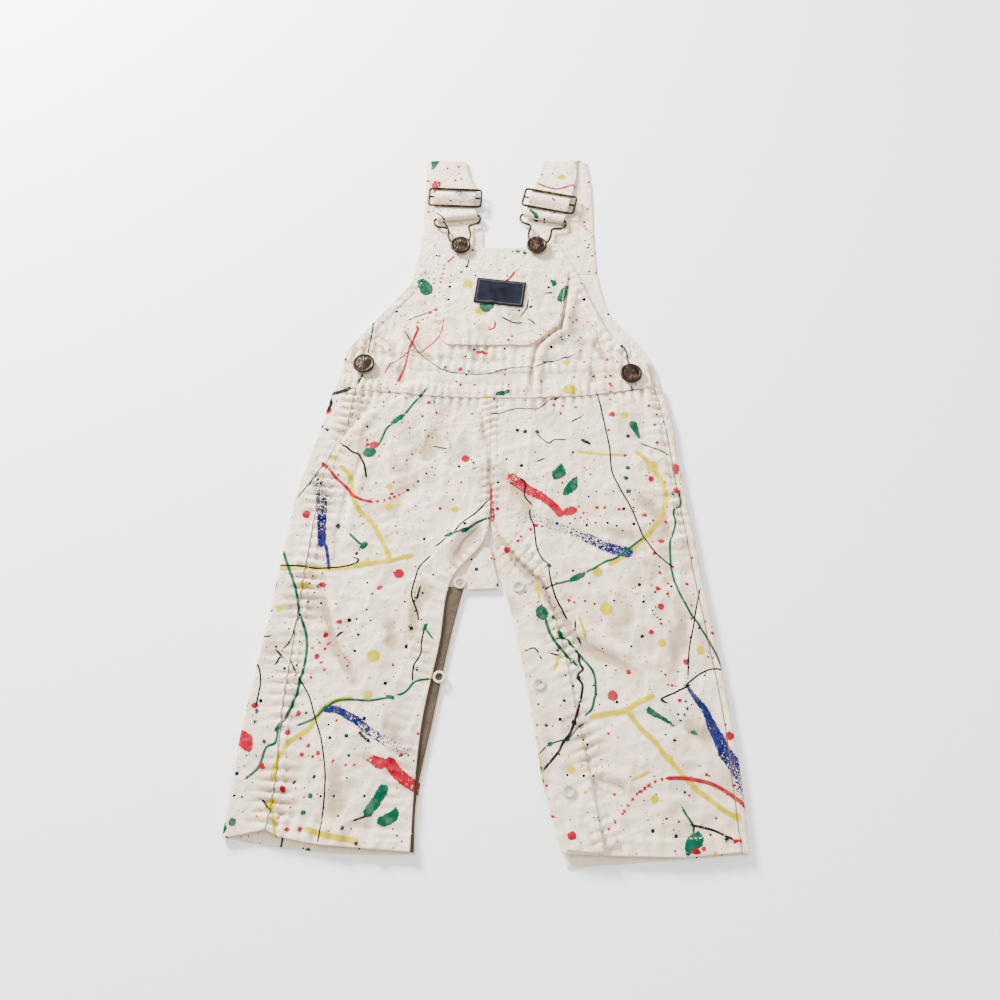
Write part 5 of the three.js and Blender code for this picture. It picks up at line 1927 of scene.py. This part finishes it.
@dataclass
class Straps:
    """The two shoulder straps, each a doubled ribbon."""

    level_half: float = 1.7  # half the level stretch at each bar
    turns: int = 5
    step: float = 0.75
    edge_row: float = 2.6  # from a strap's edge to its stitch row
    ripple: float = 0.03  # how far the strap's edges wave
    back: dict[str, list[tuple[float, ...]]] = field(default_factory=lambda: {
        "left": [
            (-55.7, NECKLINE + GAP, -4, NECKLINE + GAP), (-53.5, 166, -4, 166), (-50, 190, -4, 190),
            (-50, 212, -9, 212), (-50, 236, -15, 236), (-49.5, 260.6, -18, 259.6),
        ],
        "right": [
            (28, NECKLINE + GAP, 80.7, NECKLINE + GAP), (28, 166, 80, 166), (29, 190, 79.5, 190),
            (34, 212, 80, 212), (40, 236, 80, 236), (46, 259.6, 77, 260.6),
        ],
    })
    front: dict[str, list[tuple[float, ...]]] = field(default_factory=lambda: {
        "left": [(-49, 260.6, -18, 259.6), (-46.5, 246, -16.5, 247)],
        "right": [(42.5, 259.6, 69, 260.4), (38.5, 244, 68.5, 244)],
    })

    def rows(self, buckle: Buckle) -> Array:
        """The strap's way up the back, over the shoulder, over the slider and round the hook's bar.

        Args:
            buckle: The fastenings it runs through.

        Returns:
            Rows of left x, y, right x, y and level.
        """
        back, front = self.back[buckle.side], self.front[buckle.side]
        rows = [(*row, BACK_LEVEL) for row in back]
        for k in range(1, self.turns):
            a = math.pi * k / self.turns
            lx, ly, rx, ry = (mix(p, q, k / self.turns) for p, q in zip(back[-1], front[0]))
            rise = FOLD_RADIUS * math.sin(a)
            rows.append((lx, ly + rise, rx, ry + rise, BACK_LEVEL + FOLD_RADIUS * (1 - math.cos(a))))
        above = BACK_LEVEL + 2 * FOLD_RADIUS
        for k, row in enumerate(front):
            rows.append((*row, mix(above, RUN_LEVEL, (k / len(front)) ** 2)))

        def cross(origin: Point, lean: float, y: float, z: float) -> None:
            """Adds a row straight across the strap."""
            left = placed(origin, lean, -STRAP_HALF, y)
            rows.append((*left, *placed(origin, lean, STRAP_HALF, y), z))

        over = SLIDER_LEVEL + WIRE + GAP + WALL / 2
        bar_at = SLIDER_HALF[1] - WIRE
        clear = self.level_half
        weave = [(bar_at + clear, RUN_LEVEL), (bar_at - clear, RUN_LEVEL), (clear, over)]
        for y, z in weave + [(-y, z) for y, z in reversed(weave)]:
            cross(buckle.slider, buckle.slider_lean, y, z)
        wrap = HOOK_LEVEL - TAIL_LEVEL
        cross(buckle.button, buckle.hook_lean, HOOK_BAR + clear, HOOK_LEVEL + wrap)
        for k in range(self.turns + 1):
            a = math.pi * k / self.turns
            z = HOOK_LEVEL + wrap * math.cos(a)
            cross(buckle.button, buckle.hook_lean, HOOK_BAR - wrap * math.sin(a), z)
        for beyond in STRAP_TAIL:
            cross(buckle.button, buckle.hook_lean, HOOK_BAR + beyond, TAIL_LEVEL)
        return np.array(rows)

    def fine_rows(self, buckle: Buckle) -> tuple[Array, float]:
        """The same rows close together with their corners rounded, and the strap's length."""
        rows = self.rows(buckle)
        middle = np.column_stack([(rows[:, 0] + rows[:, 2]) / 2, (rows[:, 1] + rows[:, 3]) / 2, rows[:, 4]])
        run = np.concatenate([[0], np.cumsum(np.linalg.norm(np.diff(middle, axis=0), axis=1))])
        places = stops(run[-1], self.step) * run[-1]
        fine = np.column_stack([np.interp(places, run, rows[:, c]) for c in range(5)])
        for _ in range(3):
            fine[4:-4] = 0.25 * fine[3:-5] + 0.5 * fine[4:-4] + 0.25 * fine[5:-3]
        return fine, float(run[-1])

    def cloth(self, buckle: Buckle) -> Cloth:
        """One strap's wall of cloth."""
        rows, long = self.fine_rows(buckle)
        wide = 2 * STRAP_HALF
        u = stops(wide, FINE)
        x = mix(rows[:, 0:1], rows[:, 2:3], u[None, :])
        y = mix(rows[:, 1:2], rows[:, 3:4], u[None, :])
        z = np.repeat(rows[:, 4:5], len(u), axis=1)
        places = np.linspace(0, long, len(rows))[:, None]
        waves = np.sin(places / 3.1 + 2 * np.sin(places / 17))
        ripple = self.ripple * waves * np.abs(2 * u[None, :] - 1)
        z = z + np.where(rows[:, 4:5] > BACK_LEVEL + 1.0, ripple, 0)
        share = np.minimum(edge_share(stops(long, self.step), long)[:, None], edge_share(u, wide)[None, :])
        return Cloth(np.stack([x, y, z], axis=2), share, WALL)

    def edge_rows(self, buckle: Buckle) -> list[Array]:
        """The stitch rows along the strap's two edges, on the outer face of its front run."""
        rows, _ = self.fine_rows(buckle)
        top = int(np.argmax(rows[:, 1] + rows[:, 3]))
        bar = int(np.argmax(rows[:, 4] * (np.arange(len(rows)) > top)))
        run = rows[top + 4:max(bar - 8, top + 30)]
        found = []
        for share in (self.edge_row / (2 * STRAP_HALF), 1 - self.edge_row / (2 * STRAP_HALF)):
            xy = mix(run[:, 0:2], run[:, 2:4], share)
            found.append(np.column_stack([xy, run[:, 4] + WALL / 2]))
        return found

    def build(self, finishes: Wardrobe) -> None:
        """Makes both straps."""
        prints = {"left": ON_LEFT_STRAP, "right": ON_RIGHT_STRAP}
        for buckle in BUCKLES:
            cloth = self.cloth(buckle)
            marks = prints[buckle.side]
            name = f"strap_{buckle.side}_cloth"
            piece = cloth.build(name, finishes.twill, marks, turned_over(marks, 10), both_faces=True)
            laid(dressed(piece, "twill", f"strap_{buckle.side}"))


# ---- fastenings -----------------------------------------------------------------------------


def plain_mesh(name: str, points: list, faces: list, material: bpy.types.Material) -> bpy.types.Object:
    """A smooth-shaded mesh object made from lists of corners, in millimetres, and faces."""
    mesh = bpy.data.meshes.new(name)
    mesh.from_pydata([[c * MM for c in p] for p in points], [], faces)
    mesh.validate()
    mesh.shade_smooth()
    mesh.materials.append(material)
    made = bpy.data.objects.new(name, mesh)
    bpy.context.scene.collection.objects.link(made)
    return made


@dataclass
class Solid:
    """Corners and faces that are gathered from several closed bodies."""

    points: list = field(default_factory=list)
    faces: list = field(default_factory=list)

    def add(self, points: Sequence, faces: Sequence) -> None:
        """Adds one body."""
        start = len(self.points)
        self.points.extend([tuple(p) for p in points])
        self.faces.extend([tuple(i + start for i in f) for f in faces])


def ring_of_wire(centres: Array, radius: float, sides: int = 14) -> tuple[Array, list]:
    """A closed loop of round wire that lies flat.

    Args:
        centres: The loop's middle line, anticlockwise from above.
        radius: The wire's radius.
        sides: How many faces round it.

    Returns:
        Its corners and faces.
    """
    run = np.roll(centres, -1, axis=0) - np.roll(centres, 1, axis=0)
    run /= np.linalg.norm(run, axis=1)[:, None]
    outward = np.column_stack([run[:, 1], -run[:, 0], np.zeros(len(run))])
    points, count = [], len(centres)
    for k in range(sides):
        a = 2 * math.pi * k / sides
        points.append(centres + radius * (math.cos(a) * outward + np.array([0, 0, math.sin(a)])))
    grid = np.stack(points, axis=1).reshape(-1, 3)
    faces = []
    for j in range(count):
        for k in range(sides):
            after, beside = (j + 1) % count, (k + 1) % sides
            faces.append((j * sides + k, j * sides + beside, after * sides + beside, after * sides + k)[::-1])
    return grid, faces


def rod(start: Array, end: Array, radius: float, sides: int = 14) -> tuple[Array, list]:
    """A straight flat-lying rod with capped ends."""
    run = (end - start) / np.linalg.norm(end - start)
    across = np.array([run[1], -run[0], 0.0])
    points = []
    for at in (start, end):
        for k in range(sides):
            a = 2 * math.pi * k / sides
            points.append(at + radius * (math.cos(a) * across + np.array([0, 0, math.sin(a)])))
    faces = [(k, k + sides, (k + 1) % sides + sides, (k + 1) % sides) for k in range(sides)]
    faces.append(tuple(range(sides)))
    faces.append(tuple(range(2 * sides - 1, sides - 1, -1)))
    return np.array(points), faces


def lathe(profile: Sequence[Point], sides: int, relief: Callable[[float, float], float]) -> tuple[list, list]:
    """A body turned about Z whose upper side may have a pattern.

    Args:
        profile: Radius and height of each ring, from the middle of the underside round to the
            middle of the top, or all the way round a hollow ring and back to its first point.
        sides: How many faces round it.
        relief: Extra height at a radius and an angle.

    Returns:
        Its corners and faces.
    """
    points, faces, rings = [], [], []
    for radius, height in profile:
        if radius == 0:
            rings.append([len(points)])
            points.append((0.0, 0.0, height))
            continue
        rings.append([len(points) + k for k in range(sides)])
        for k in range(sides):
            a = 2 * math.pi * k / sides
            lift = relief(radius, a) if height > profile[0][1] + 0.5 else 0.0
            points.append((radius * math.cos(a), radius * math.sin(a), height + lift))
    if profile[0] == profile[-1]:
        rings[-1] = rings[0]
    for low, high in zip(rings, rings[1:]):
        for k in range(sides):
            j = (k + 1) % sides
            quad = [low[k % len(low)], low[j % len(low)], high[j % len(high)], high[k % len(high)]]
            faces.append(tuple(dict.fromkeys(quad)))
    return points, faces


@dataclass
class Fastenings:
    """Hooks, sliders, tack buttons and snaps."""

    head: float = 7.7
    shank: float = 2.6
    shank_height: float = 2.1
    head_height: float = 2.5
    corner: float = 2.2
    wire_radius: float = WIRE
    snap: tuple[float, float, float] = (3.9, 2.3, 1.1)
    petals: int = 12
    placket_snaps: Sequence[Point] = ((20, -97), (32, -159), (48, -221))
    tape_snaps: Sequence[Point] = ((-16.9, -93.5), (-28.4, -154))

    def hook(self, buckle: Buckle) -> tuple[Array, list]:
        """The hook's wire: a wide loop for the strap that narrows to a keyhole on the button."""
        half = [
            (6, HOOK_BAR), (10, HOOK_BAR), (16.2, HOOK_BAR - 0.3), (17.4, HOOK_BAR - 2.5), (17.2, 23.5),
            (15, 20.8), (10, 19.6), (8, 17.5), (8.4, 12), (7.2, 6.5), (4.6, 2.6), (3.9, -0.8),
            (2.4, -3.4),
        ]
        outline = [*half, (0, -4.3), *[(-x, y) for x, y in reversed(half)], half[0]]
        smooth_line = np.array(flowing(outline, 6))[:-1][::-1]
        places = [placed(buckle.button, buckle.hook_lean, x, y) for x, y in smooth_line]
        centres = np.column_stack([np.array(places), np.full(len(places), HOOK_LEVEL)])
        return ring_of_wire(centres, self.wire_radius)

    def slider(self, buckle: Buckle) -> Solid:
        """The slider: a round-cornered frame with a middle bar."""
        wide, tall = SLIDER_HALF[0] - WIRE, SLIDER_HALF[1] - WIRE
        outline = []
        for cx, cy, start in ((1, -1, -90), (1, 1, 0), (-1, 1, 90), (-1, -1, 180)):
            for k in range(7):
                a = math.radians(start + 15 * k)
                x = cx * (wide - self.corner) + self.corner * math.cos(a)
                y = cy * (tall - self.corner) + self.corner * math.sin(a)
                outline.append(placed(buckle.slider, buckle.slider_lean, x, y))
        body = Solid()
        centres = np.column_stack([np.array(outline), np.full(len(outline), SLIDER_LEVEL)])
        body.add(*ring_of_wire(centres, self.wire_radius))
        ends = [placed(buckle.slider, buckle.slider_lean, side * wide, 0) for side in (-1, 1)]
        body.add(*rod(*(np.array([*end, SLIDER_LEVEL]) for end in ends), self.wire_radius * 0.9))
        return body

    def button(self, x: float, y: float) -> Solid:
        """A tack button with a raised rim round a plain petal pattern."""
        h, s, base = self.head, self.shank_height, height_at(x, y) + WALL / 2 + GAP
        top = s + self.head_height
        profile = [
            (0, 0), (self.shank, 0), (self.shank, s), (h - 0.9, s), (h - 0.25, s + 0.25), (h, s + 0.8),
            (h - 0.08, top - 1.1), (h - 0.4, top - 0.6), (h - 0.9, top - 0.35), (h - 1.4, top - 0.35),
            (h - 1.8, top - 0.62), (h - 2.2, top - 0.8), (h - 2.8, top - 0.62), (4.1, top - 0.42),
            (3.3, top - 0.34), (2.6, top - 0.30), (1.9, top - 0.12), (1.0, top - 0.04), (0, top),
        ]

        def petals(radius: float, angle: float) -> float:
            """How far the pattern stands up at a place on the button."""
            inner = smooth((radius - 2.2) / 0.8) * smooth((5.4 - radius) / 0.8)
            return float(0.16 * inner * math.cos(self.petals * angle))

        points, faces = lathe(profile, 72, petals)
        body = Solid()
        body.add([(px + x, py + y, pz + base) for px, py, pz in points], faces)
        return body

    def snap_ring(self, x: float, y: float, base: float) -> Solid:
        """A moulded snap ring."""
        outer, inner, height = self.snap
        edge = 0.35
        profile = [
            (inner, 0), (outer, 0), (outer, height - edge), (outer - 0.1, height - 0.1),
            (outer - edge, height), (inner + edge, height), (inner + 0.1, height - 0.1),
            (inner, height - edge), (inner, 0),
        ]
        points, faces = lathe(profile, 36, lambda radius, angle: 0.0)
        body = Solid()
        body.add([(px + x, py + y, pz + base) for px, py, pz in points], faces)
        return body

    def build(self, finishes: Wardrobe) -> None:
        """Makes every fastening."""
        for buckle in BUCKLES:
            hook = Solid()
            hook.add(*self.hook(buckle))
            bodies = {
                f"hook_{buckle.side}": hook,
                f"slider_{buckle.side}": self.slider(buckle),
                f"bib_button_{buckle.side}": self.button(*buckle.button),
                f"side_button_{buckle.side}": self.button(*buckle.side_button),
            }
            for node, body in bodies.items():
                piece = plain_mesh(f"{node}_metal", body.points, body.faces, finishes.bronze)
                dressed(piece, "bronze", node)
        above_trim = TRIM_WALL / 2 + GAP
        for k, (x, y) in enumerate(self.placket_snaps, 1):
            base = float(on_front(np.array([x]), np.array([y]))[0]) + above_trim
            body = self.snap_ring(x, y, base)
            piece = plain_mesh(f"placket_snap_{k}_ring", body.points, body.faces, finishes.plastic)
            dressed(piece, "plastic", f"placket_snap_{k}")
        for k, (x, y) in enumerate(self.tape_snaps, 1):
            body = self.snap_ring(x, y, TAPE_LEVEL + above_trim)
            piece = plain_mesh(f"tape_snap_{k}_ring", body.points, body.faces, finishes.plastic)
            dressed(piece, "plastic", f"tape_snap_{k}")


# ---- stitching ------------------------------------------------------------------------------


@dataclass
class Stitching:
    """Every row of stitches, made by one node tree that lays a stitch at each step of a line."""

    pitch: float = 2.7
    length: float = 2.1
    width: float = 0.55
    sink: float = 0.05  # how far a stitch's middle sits below the cloth's face
    seed: int = 7
    pocket_inset: float = 2.0
    pocket_tops: tuple[float, float] = (1.6, 9.0)  # the two rows' distances from the pocket's top
    placket_inset: float = 2.4
    tape_row: Sequence[Point] = (
        (-51.6, -250), (-50.6, -222), (-43.6, -182), (-33.6, -131), (-24.6, -98),
    )

    def tree(self, thread: bpy.types.Material) -> bpy.types.NodeTree:
        """Builds the node tree that turns lines into rows of stitches."""
        tree = bpy.data.node_groups.new("stitch_rows", "GeometryNodeTree")
        new_socket = tree.interface.new_socket
        new_socket("Lines", in_out="INPUT", socket_type="NodeSocketGeometry")
        for name in ("Pitch", "Length", "Width"):
            new_socket(name, in_out="INPUT", socket_type="NodeSocketFloat")
        new_socket("Stitches", in_out="OUTPUT", socket_type="NodeSocketGeometry")

        def node(kind: str, **settings: object) -> bpy.types.Node:
            """A new node with its settings."""
            made = tree.nodes.new(kind)
            for key, value in settings.items():
                setattr(made, key, value)
            return made

        link = tree.links.new
        start, end = node("NodeGroupInput"), node("NodeGroupOutput")
        curves = node("GeometryNodeMeshToCurve")
        steps = node("GeometryNodeResampleCurve", mode="LENGTH")
        tangent = node("GeometryNodeInputTangent")
        turn = node("FunctionNodeAlignRotationToVector", axis="X")
        bead = node("GeometryNodeMeshUVSphere")
        bead.inputs["Segments"].default_value = 6
        bead.inputs["Rings"].default_value = 4
        bead.inputs["Radius"].default_value = 0.5
        size = node("ShaderNodeCombineXYZ")
        shaped = node("GeometryNodeTransform")
        stray = node("FunctionNodeRandomValue", data_type="FLOAT_VECTOR")
        stray.inputs["Min"].default_value = (-0.00012, -0.00012, 0)
        stray.inputs["Max"].default_value = (0.00012, 0.00012, 0.00004)
        stray.inputs["Seed"].default_value = self.seed
        moved = node("GeometryNodeSetPosition")
        laid_out = node("GeometryNodeInstanceOnPoints")
        real = node("GeometryNodeRealizeInstances")
        soft = node("GeometryNodeSetShadeSmooth")
        coloured = node("GeometryNodeSetMaterial")
        coloured.inputs["Material"].default_value = thread
        link(start.outputs["Lines"], curves.inputs[0])
        link(curves.outputs[0], steps.inputs["Curve"])
        link(start.outputs["Pitch"], steps.inputs["Length"])
        link(tangent.outputs[0], turn.inputs["Vector"])
        link(start.outputs["Length"], size.inputs[0])
        link(start.outputs["Width"], size.inputs[1])
        link(start.outputs["Width"], size.inputs[2])
        link(bead.outputs["Mesh"], shaped.inputs["Geometry"])
        link(size.outputs[0], shaped.inputs["Scale"])
        link(steps.outputs[0], moved.inputs["Geometry"])
        link(stray.outputs[0], moved.inputs["Offset"])
        link(moved.outputs[0], laid_out.inputs["Points"])
        link(shaped.outputs[0], laid_out.inputs["Instance"])
        link(turn.outputs[0], laid_out.inputs["Rotation"])
        link(laid_out.outputs[0], real.inputs[0])
        link(real.outputs[0], soft.inputs["Geometry"])
        link(soft.outputs[0], coloured.inputs["Geometry"])
        link(coloured.outputs[0], end.inputs[0])
        return tree

    def on_face(self, path: Sequence[Point], height: Field, thickness: float = WALL) -> Array:
        """A line's points on the upper face of a piece."""
        fine = np.array(self._close(path))
        z = height(fine[:, 0], fine[:, 1]) + thickness / 2 - self.sink
        return np.column_stack([fine, z])

    def _close(self, path: Sequence[Point]) -> list[Point]:
        """The path with a point at least every stitch."""
        points = []
        for a, b in zip(path, path[1:]):
            count = max(1, round(math.dist(a, b) / (self.pitch / 2)))
            points += [tuple(mix(np.array(a), np.array(b), k / count)) for k in range(count)]
        return [*points, tuple(path[-1][:2])]

    def sew(
        self, name: str, rows: Sequence[Array], tree: bpy.types.NodeTree, thread: bpy.types.Material
    ) -> None:
        """Makes one piece from rows of stitches.

        Args:
            name: The piece's name.
            rows: Lines of points, in millimetres.
            tree: The node tree.
            thread: The stitches' material.
        """
        points, edges = [], []
        for row in rows:
            edges += [(len(points) + k, len(points) + k + 1) for k in range(len(row) - 1)]
            points += [tuple(p * MM) for p in row]
        mesh = bpy.data.meshes.new(f"{name}_lines")
        mesh.from_pydata(points, edges, [])
        lines = bpy.data.objects.new(f"{name}_lines", mesh)
        bpy.context.scene.collection.objects.link(lines)
        sewing = lines.modifiers.new("sewing", "NODES")
        sewing.node_group = tree
        sizes = {"Pitch": self.pitch, "Length": self.length, "Width": self.width}
        for item in tree.interface.items_tree:
            if item.in_out == "INPUT" and item.name in sizes:
                sewing[item.identifier] = sizes[item.name] * MM
        evaluated = lines.evaluated_get(bpy.context.evaluated_depsgraph_get())
        stitched = bpy.data.meshes.new_from_object(evaluated)
        bpy.data.objects.remove(lines)
        piece = bpy.data.objects.new(name, stitched)
        if not stitched.materials:
            stitched.materials.append(thread)
        bpy.context.scene.collection.objects.link(piece)
        dressed(piece, "twill")

    def build(self, finishes: Wardrobe, bib: Bib, straps: Straps) -> None:
        """Sews every piece."""
        tree = self.tree(finishes.thread)

        def front(paths: Sequence[Sequence[Point]]) -> list[Array]:
            """Rows on the front's face."""
            return [self.on_face(flowing(p), front_height) for p in paths]

        self.sew("waist_stitches", front(WAIST_ROWS), tree, finishes.thread)
        self.sew("bib_stitches", front(BIB_ROWS), tree, finishes.thread)
        self.sew("leg_stitches", front(LEG_ROWS), tree, finishes.thread)
        rows = np.array(bib.pocket_rows)
        inset = self.pocket_inset
        left = [(x + inset, y) for x, y in rows[:, :2]]
        right = [(x - inset, y) for x, y in rows[:, 2:]]
        bottom = [(left[0][0], rows[0, 1] + inset), (right[0][0], rows[0, 3] + inset)]
        around = [*reversed(left[1:]), *bottom, *right[1:]]
        tops = []
        for drop in self.pocket_tops:
            tops.append([(left[-1][0], rows[-1, 1] - drop), (right[-1][0], rows[-1, 3] - drop)])
        pocket = [self.on_face(path, on_front, TRIM_WALL) for path in (around, *tops)]
        self.sew("pocket_stitches", pocket, tree, finishes.thread)
        placket = [
            self.on_face(flowing(path), on_front, TRIM_WALL)
            for path in (shifted(PLACKET_EDGE, self.placket_inset), PLACKET_INNER)
        ]
        self.sew("placket_stitches", placket, tree, finishes.thread)
        tape_rows = [self.on_face(flowing(self.tape_row), level(TAPE_LEVEL), TRIM_WALL)]
        self.sew("tape_stitches", tape_rows, tree, finishes.thread)
        edges = [row for buckle in BUCKLES for row in straps.edge_rows(buckle)]
        self.sew("strap_stitches", edges, tree, finishes.thread)


# ---- the studio -----------------------------------------------------------------------------


@dataclass
class Studio:
    """The floor, the lights and the camera, in metres."""

    aim: tuple[float, float, float] = (0.0085, -0.036, 0.004)
    distance: float = 0.625
    tilt: float = 25.0
    lens: float = 34.2
    sensor: float = 36.0
    floor_size: float = 6.0
    floor_drop: float = 0.0001
    sky: float = 0.84
    lamps: Sequence[tuple[str, tuple[float, float, float], float, float]] = (
        ("window", (-0.85, 0.95, 0.66), 0.35, 98.0),
        ("fill", (1.1, -0.5, 1.1), 1.2, 8.0),
        ("overhead", (0.1, 0.2, 1.8), 1.2, 18.0),
    )

    def build(self) -> None:
        """Sets the scene up."""
        self._floor()
        self._camera()
        for lamp in self.lamps:
            self._light(*lamp)
        world = bpy.data.worlds.new("studio_air")
        world.use_nodes = True
        world.node_tree.nodes["Background"].inputs["Color"].default_value = (1, 1, 1, 1)
        world.node_tree.nodes["Background"].inputs["Strength"].default_value = self.sky
        bpy.context.scene.world = world

    def _floor(self) -> None:
        """A large plain floor just under the cloth."""
        half = self.floor_size / 2 / MM
        z = -self.floor_drop / MM
        corners = [(-half, -half, z), (half, -half, z), (half, half, z), (-half, half, z)]
        floor = plain_mesh("floor", corners, [(0, 1, 2, 3)], FloorFinish().material("pale_floor"))

    def _camera(self) -> None:
        """The camera, tilted back from straight down."""
        data = bpy.data.cameras.new("camera")
        data.lens, data.sensor_width = self.lens, self.sensor
        camera = bpy.data.objects.new("camera", data)
        a = math.radians(self.tilt)
        x, y, z = self.aim
        camera.location = (x, y - self.distance * math.sin(a), z + self.distance * math.cos(a))
        camera.rotation_euler = (a, 0, 0)
        bpy.context.scene.collection.objects.link(camera)
        bpy.context.scene.camera = camera

    def _light(self, name: str, place: tuple[float, float, float], size: float, power: float) -> None:
        """A square soft light that looks at the overalls."""
        data = bpy.data.lights.new(name, "AREA")
        data.size, data.energy = size, power
        lamp = bpy.data.objects.new(name, data)
        lamp.location = place
        away = np.array(place) - np.array(self.aim)
        lamp.rotation_euler = (
            math.acos(away[2] / np.linalg.norm(away)),
            0,
            math.atan2(away[1], away[0]) + math.pi / 2,
        )
        bpy.context.scene.collection.objects.link(lamp)


def main() -> None:
    """Builds the overalls and the studio."""
    studio = Studio()
    studio.build()
    finishes = Wardrobe()
    legs, bib, closing, straps = Legs(), Bib(), Closing(), Straps()
    for part in (legs, bib, closing, straps, Fastenings()):
        part.build(finishes)
        log.info("%s done", type(part).__name__)
    Stitching().build(finishes, bib, straps)


if __name__ == "__main__":
    main()
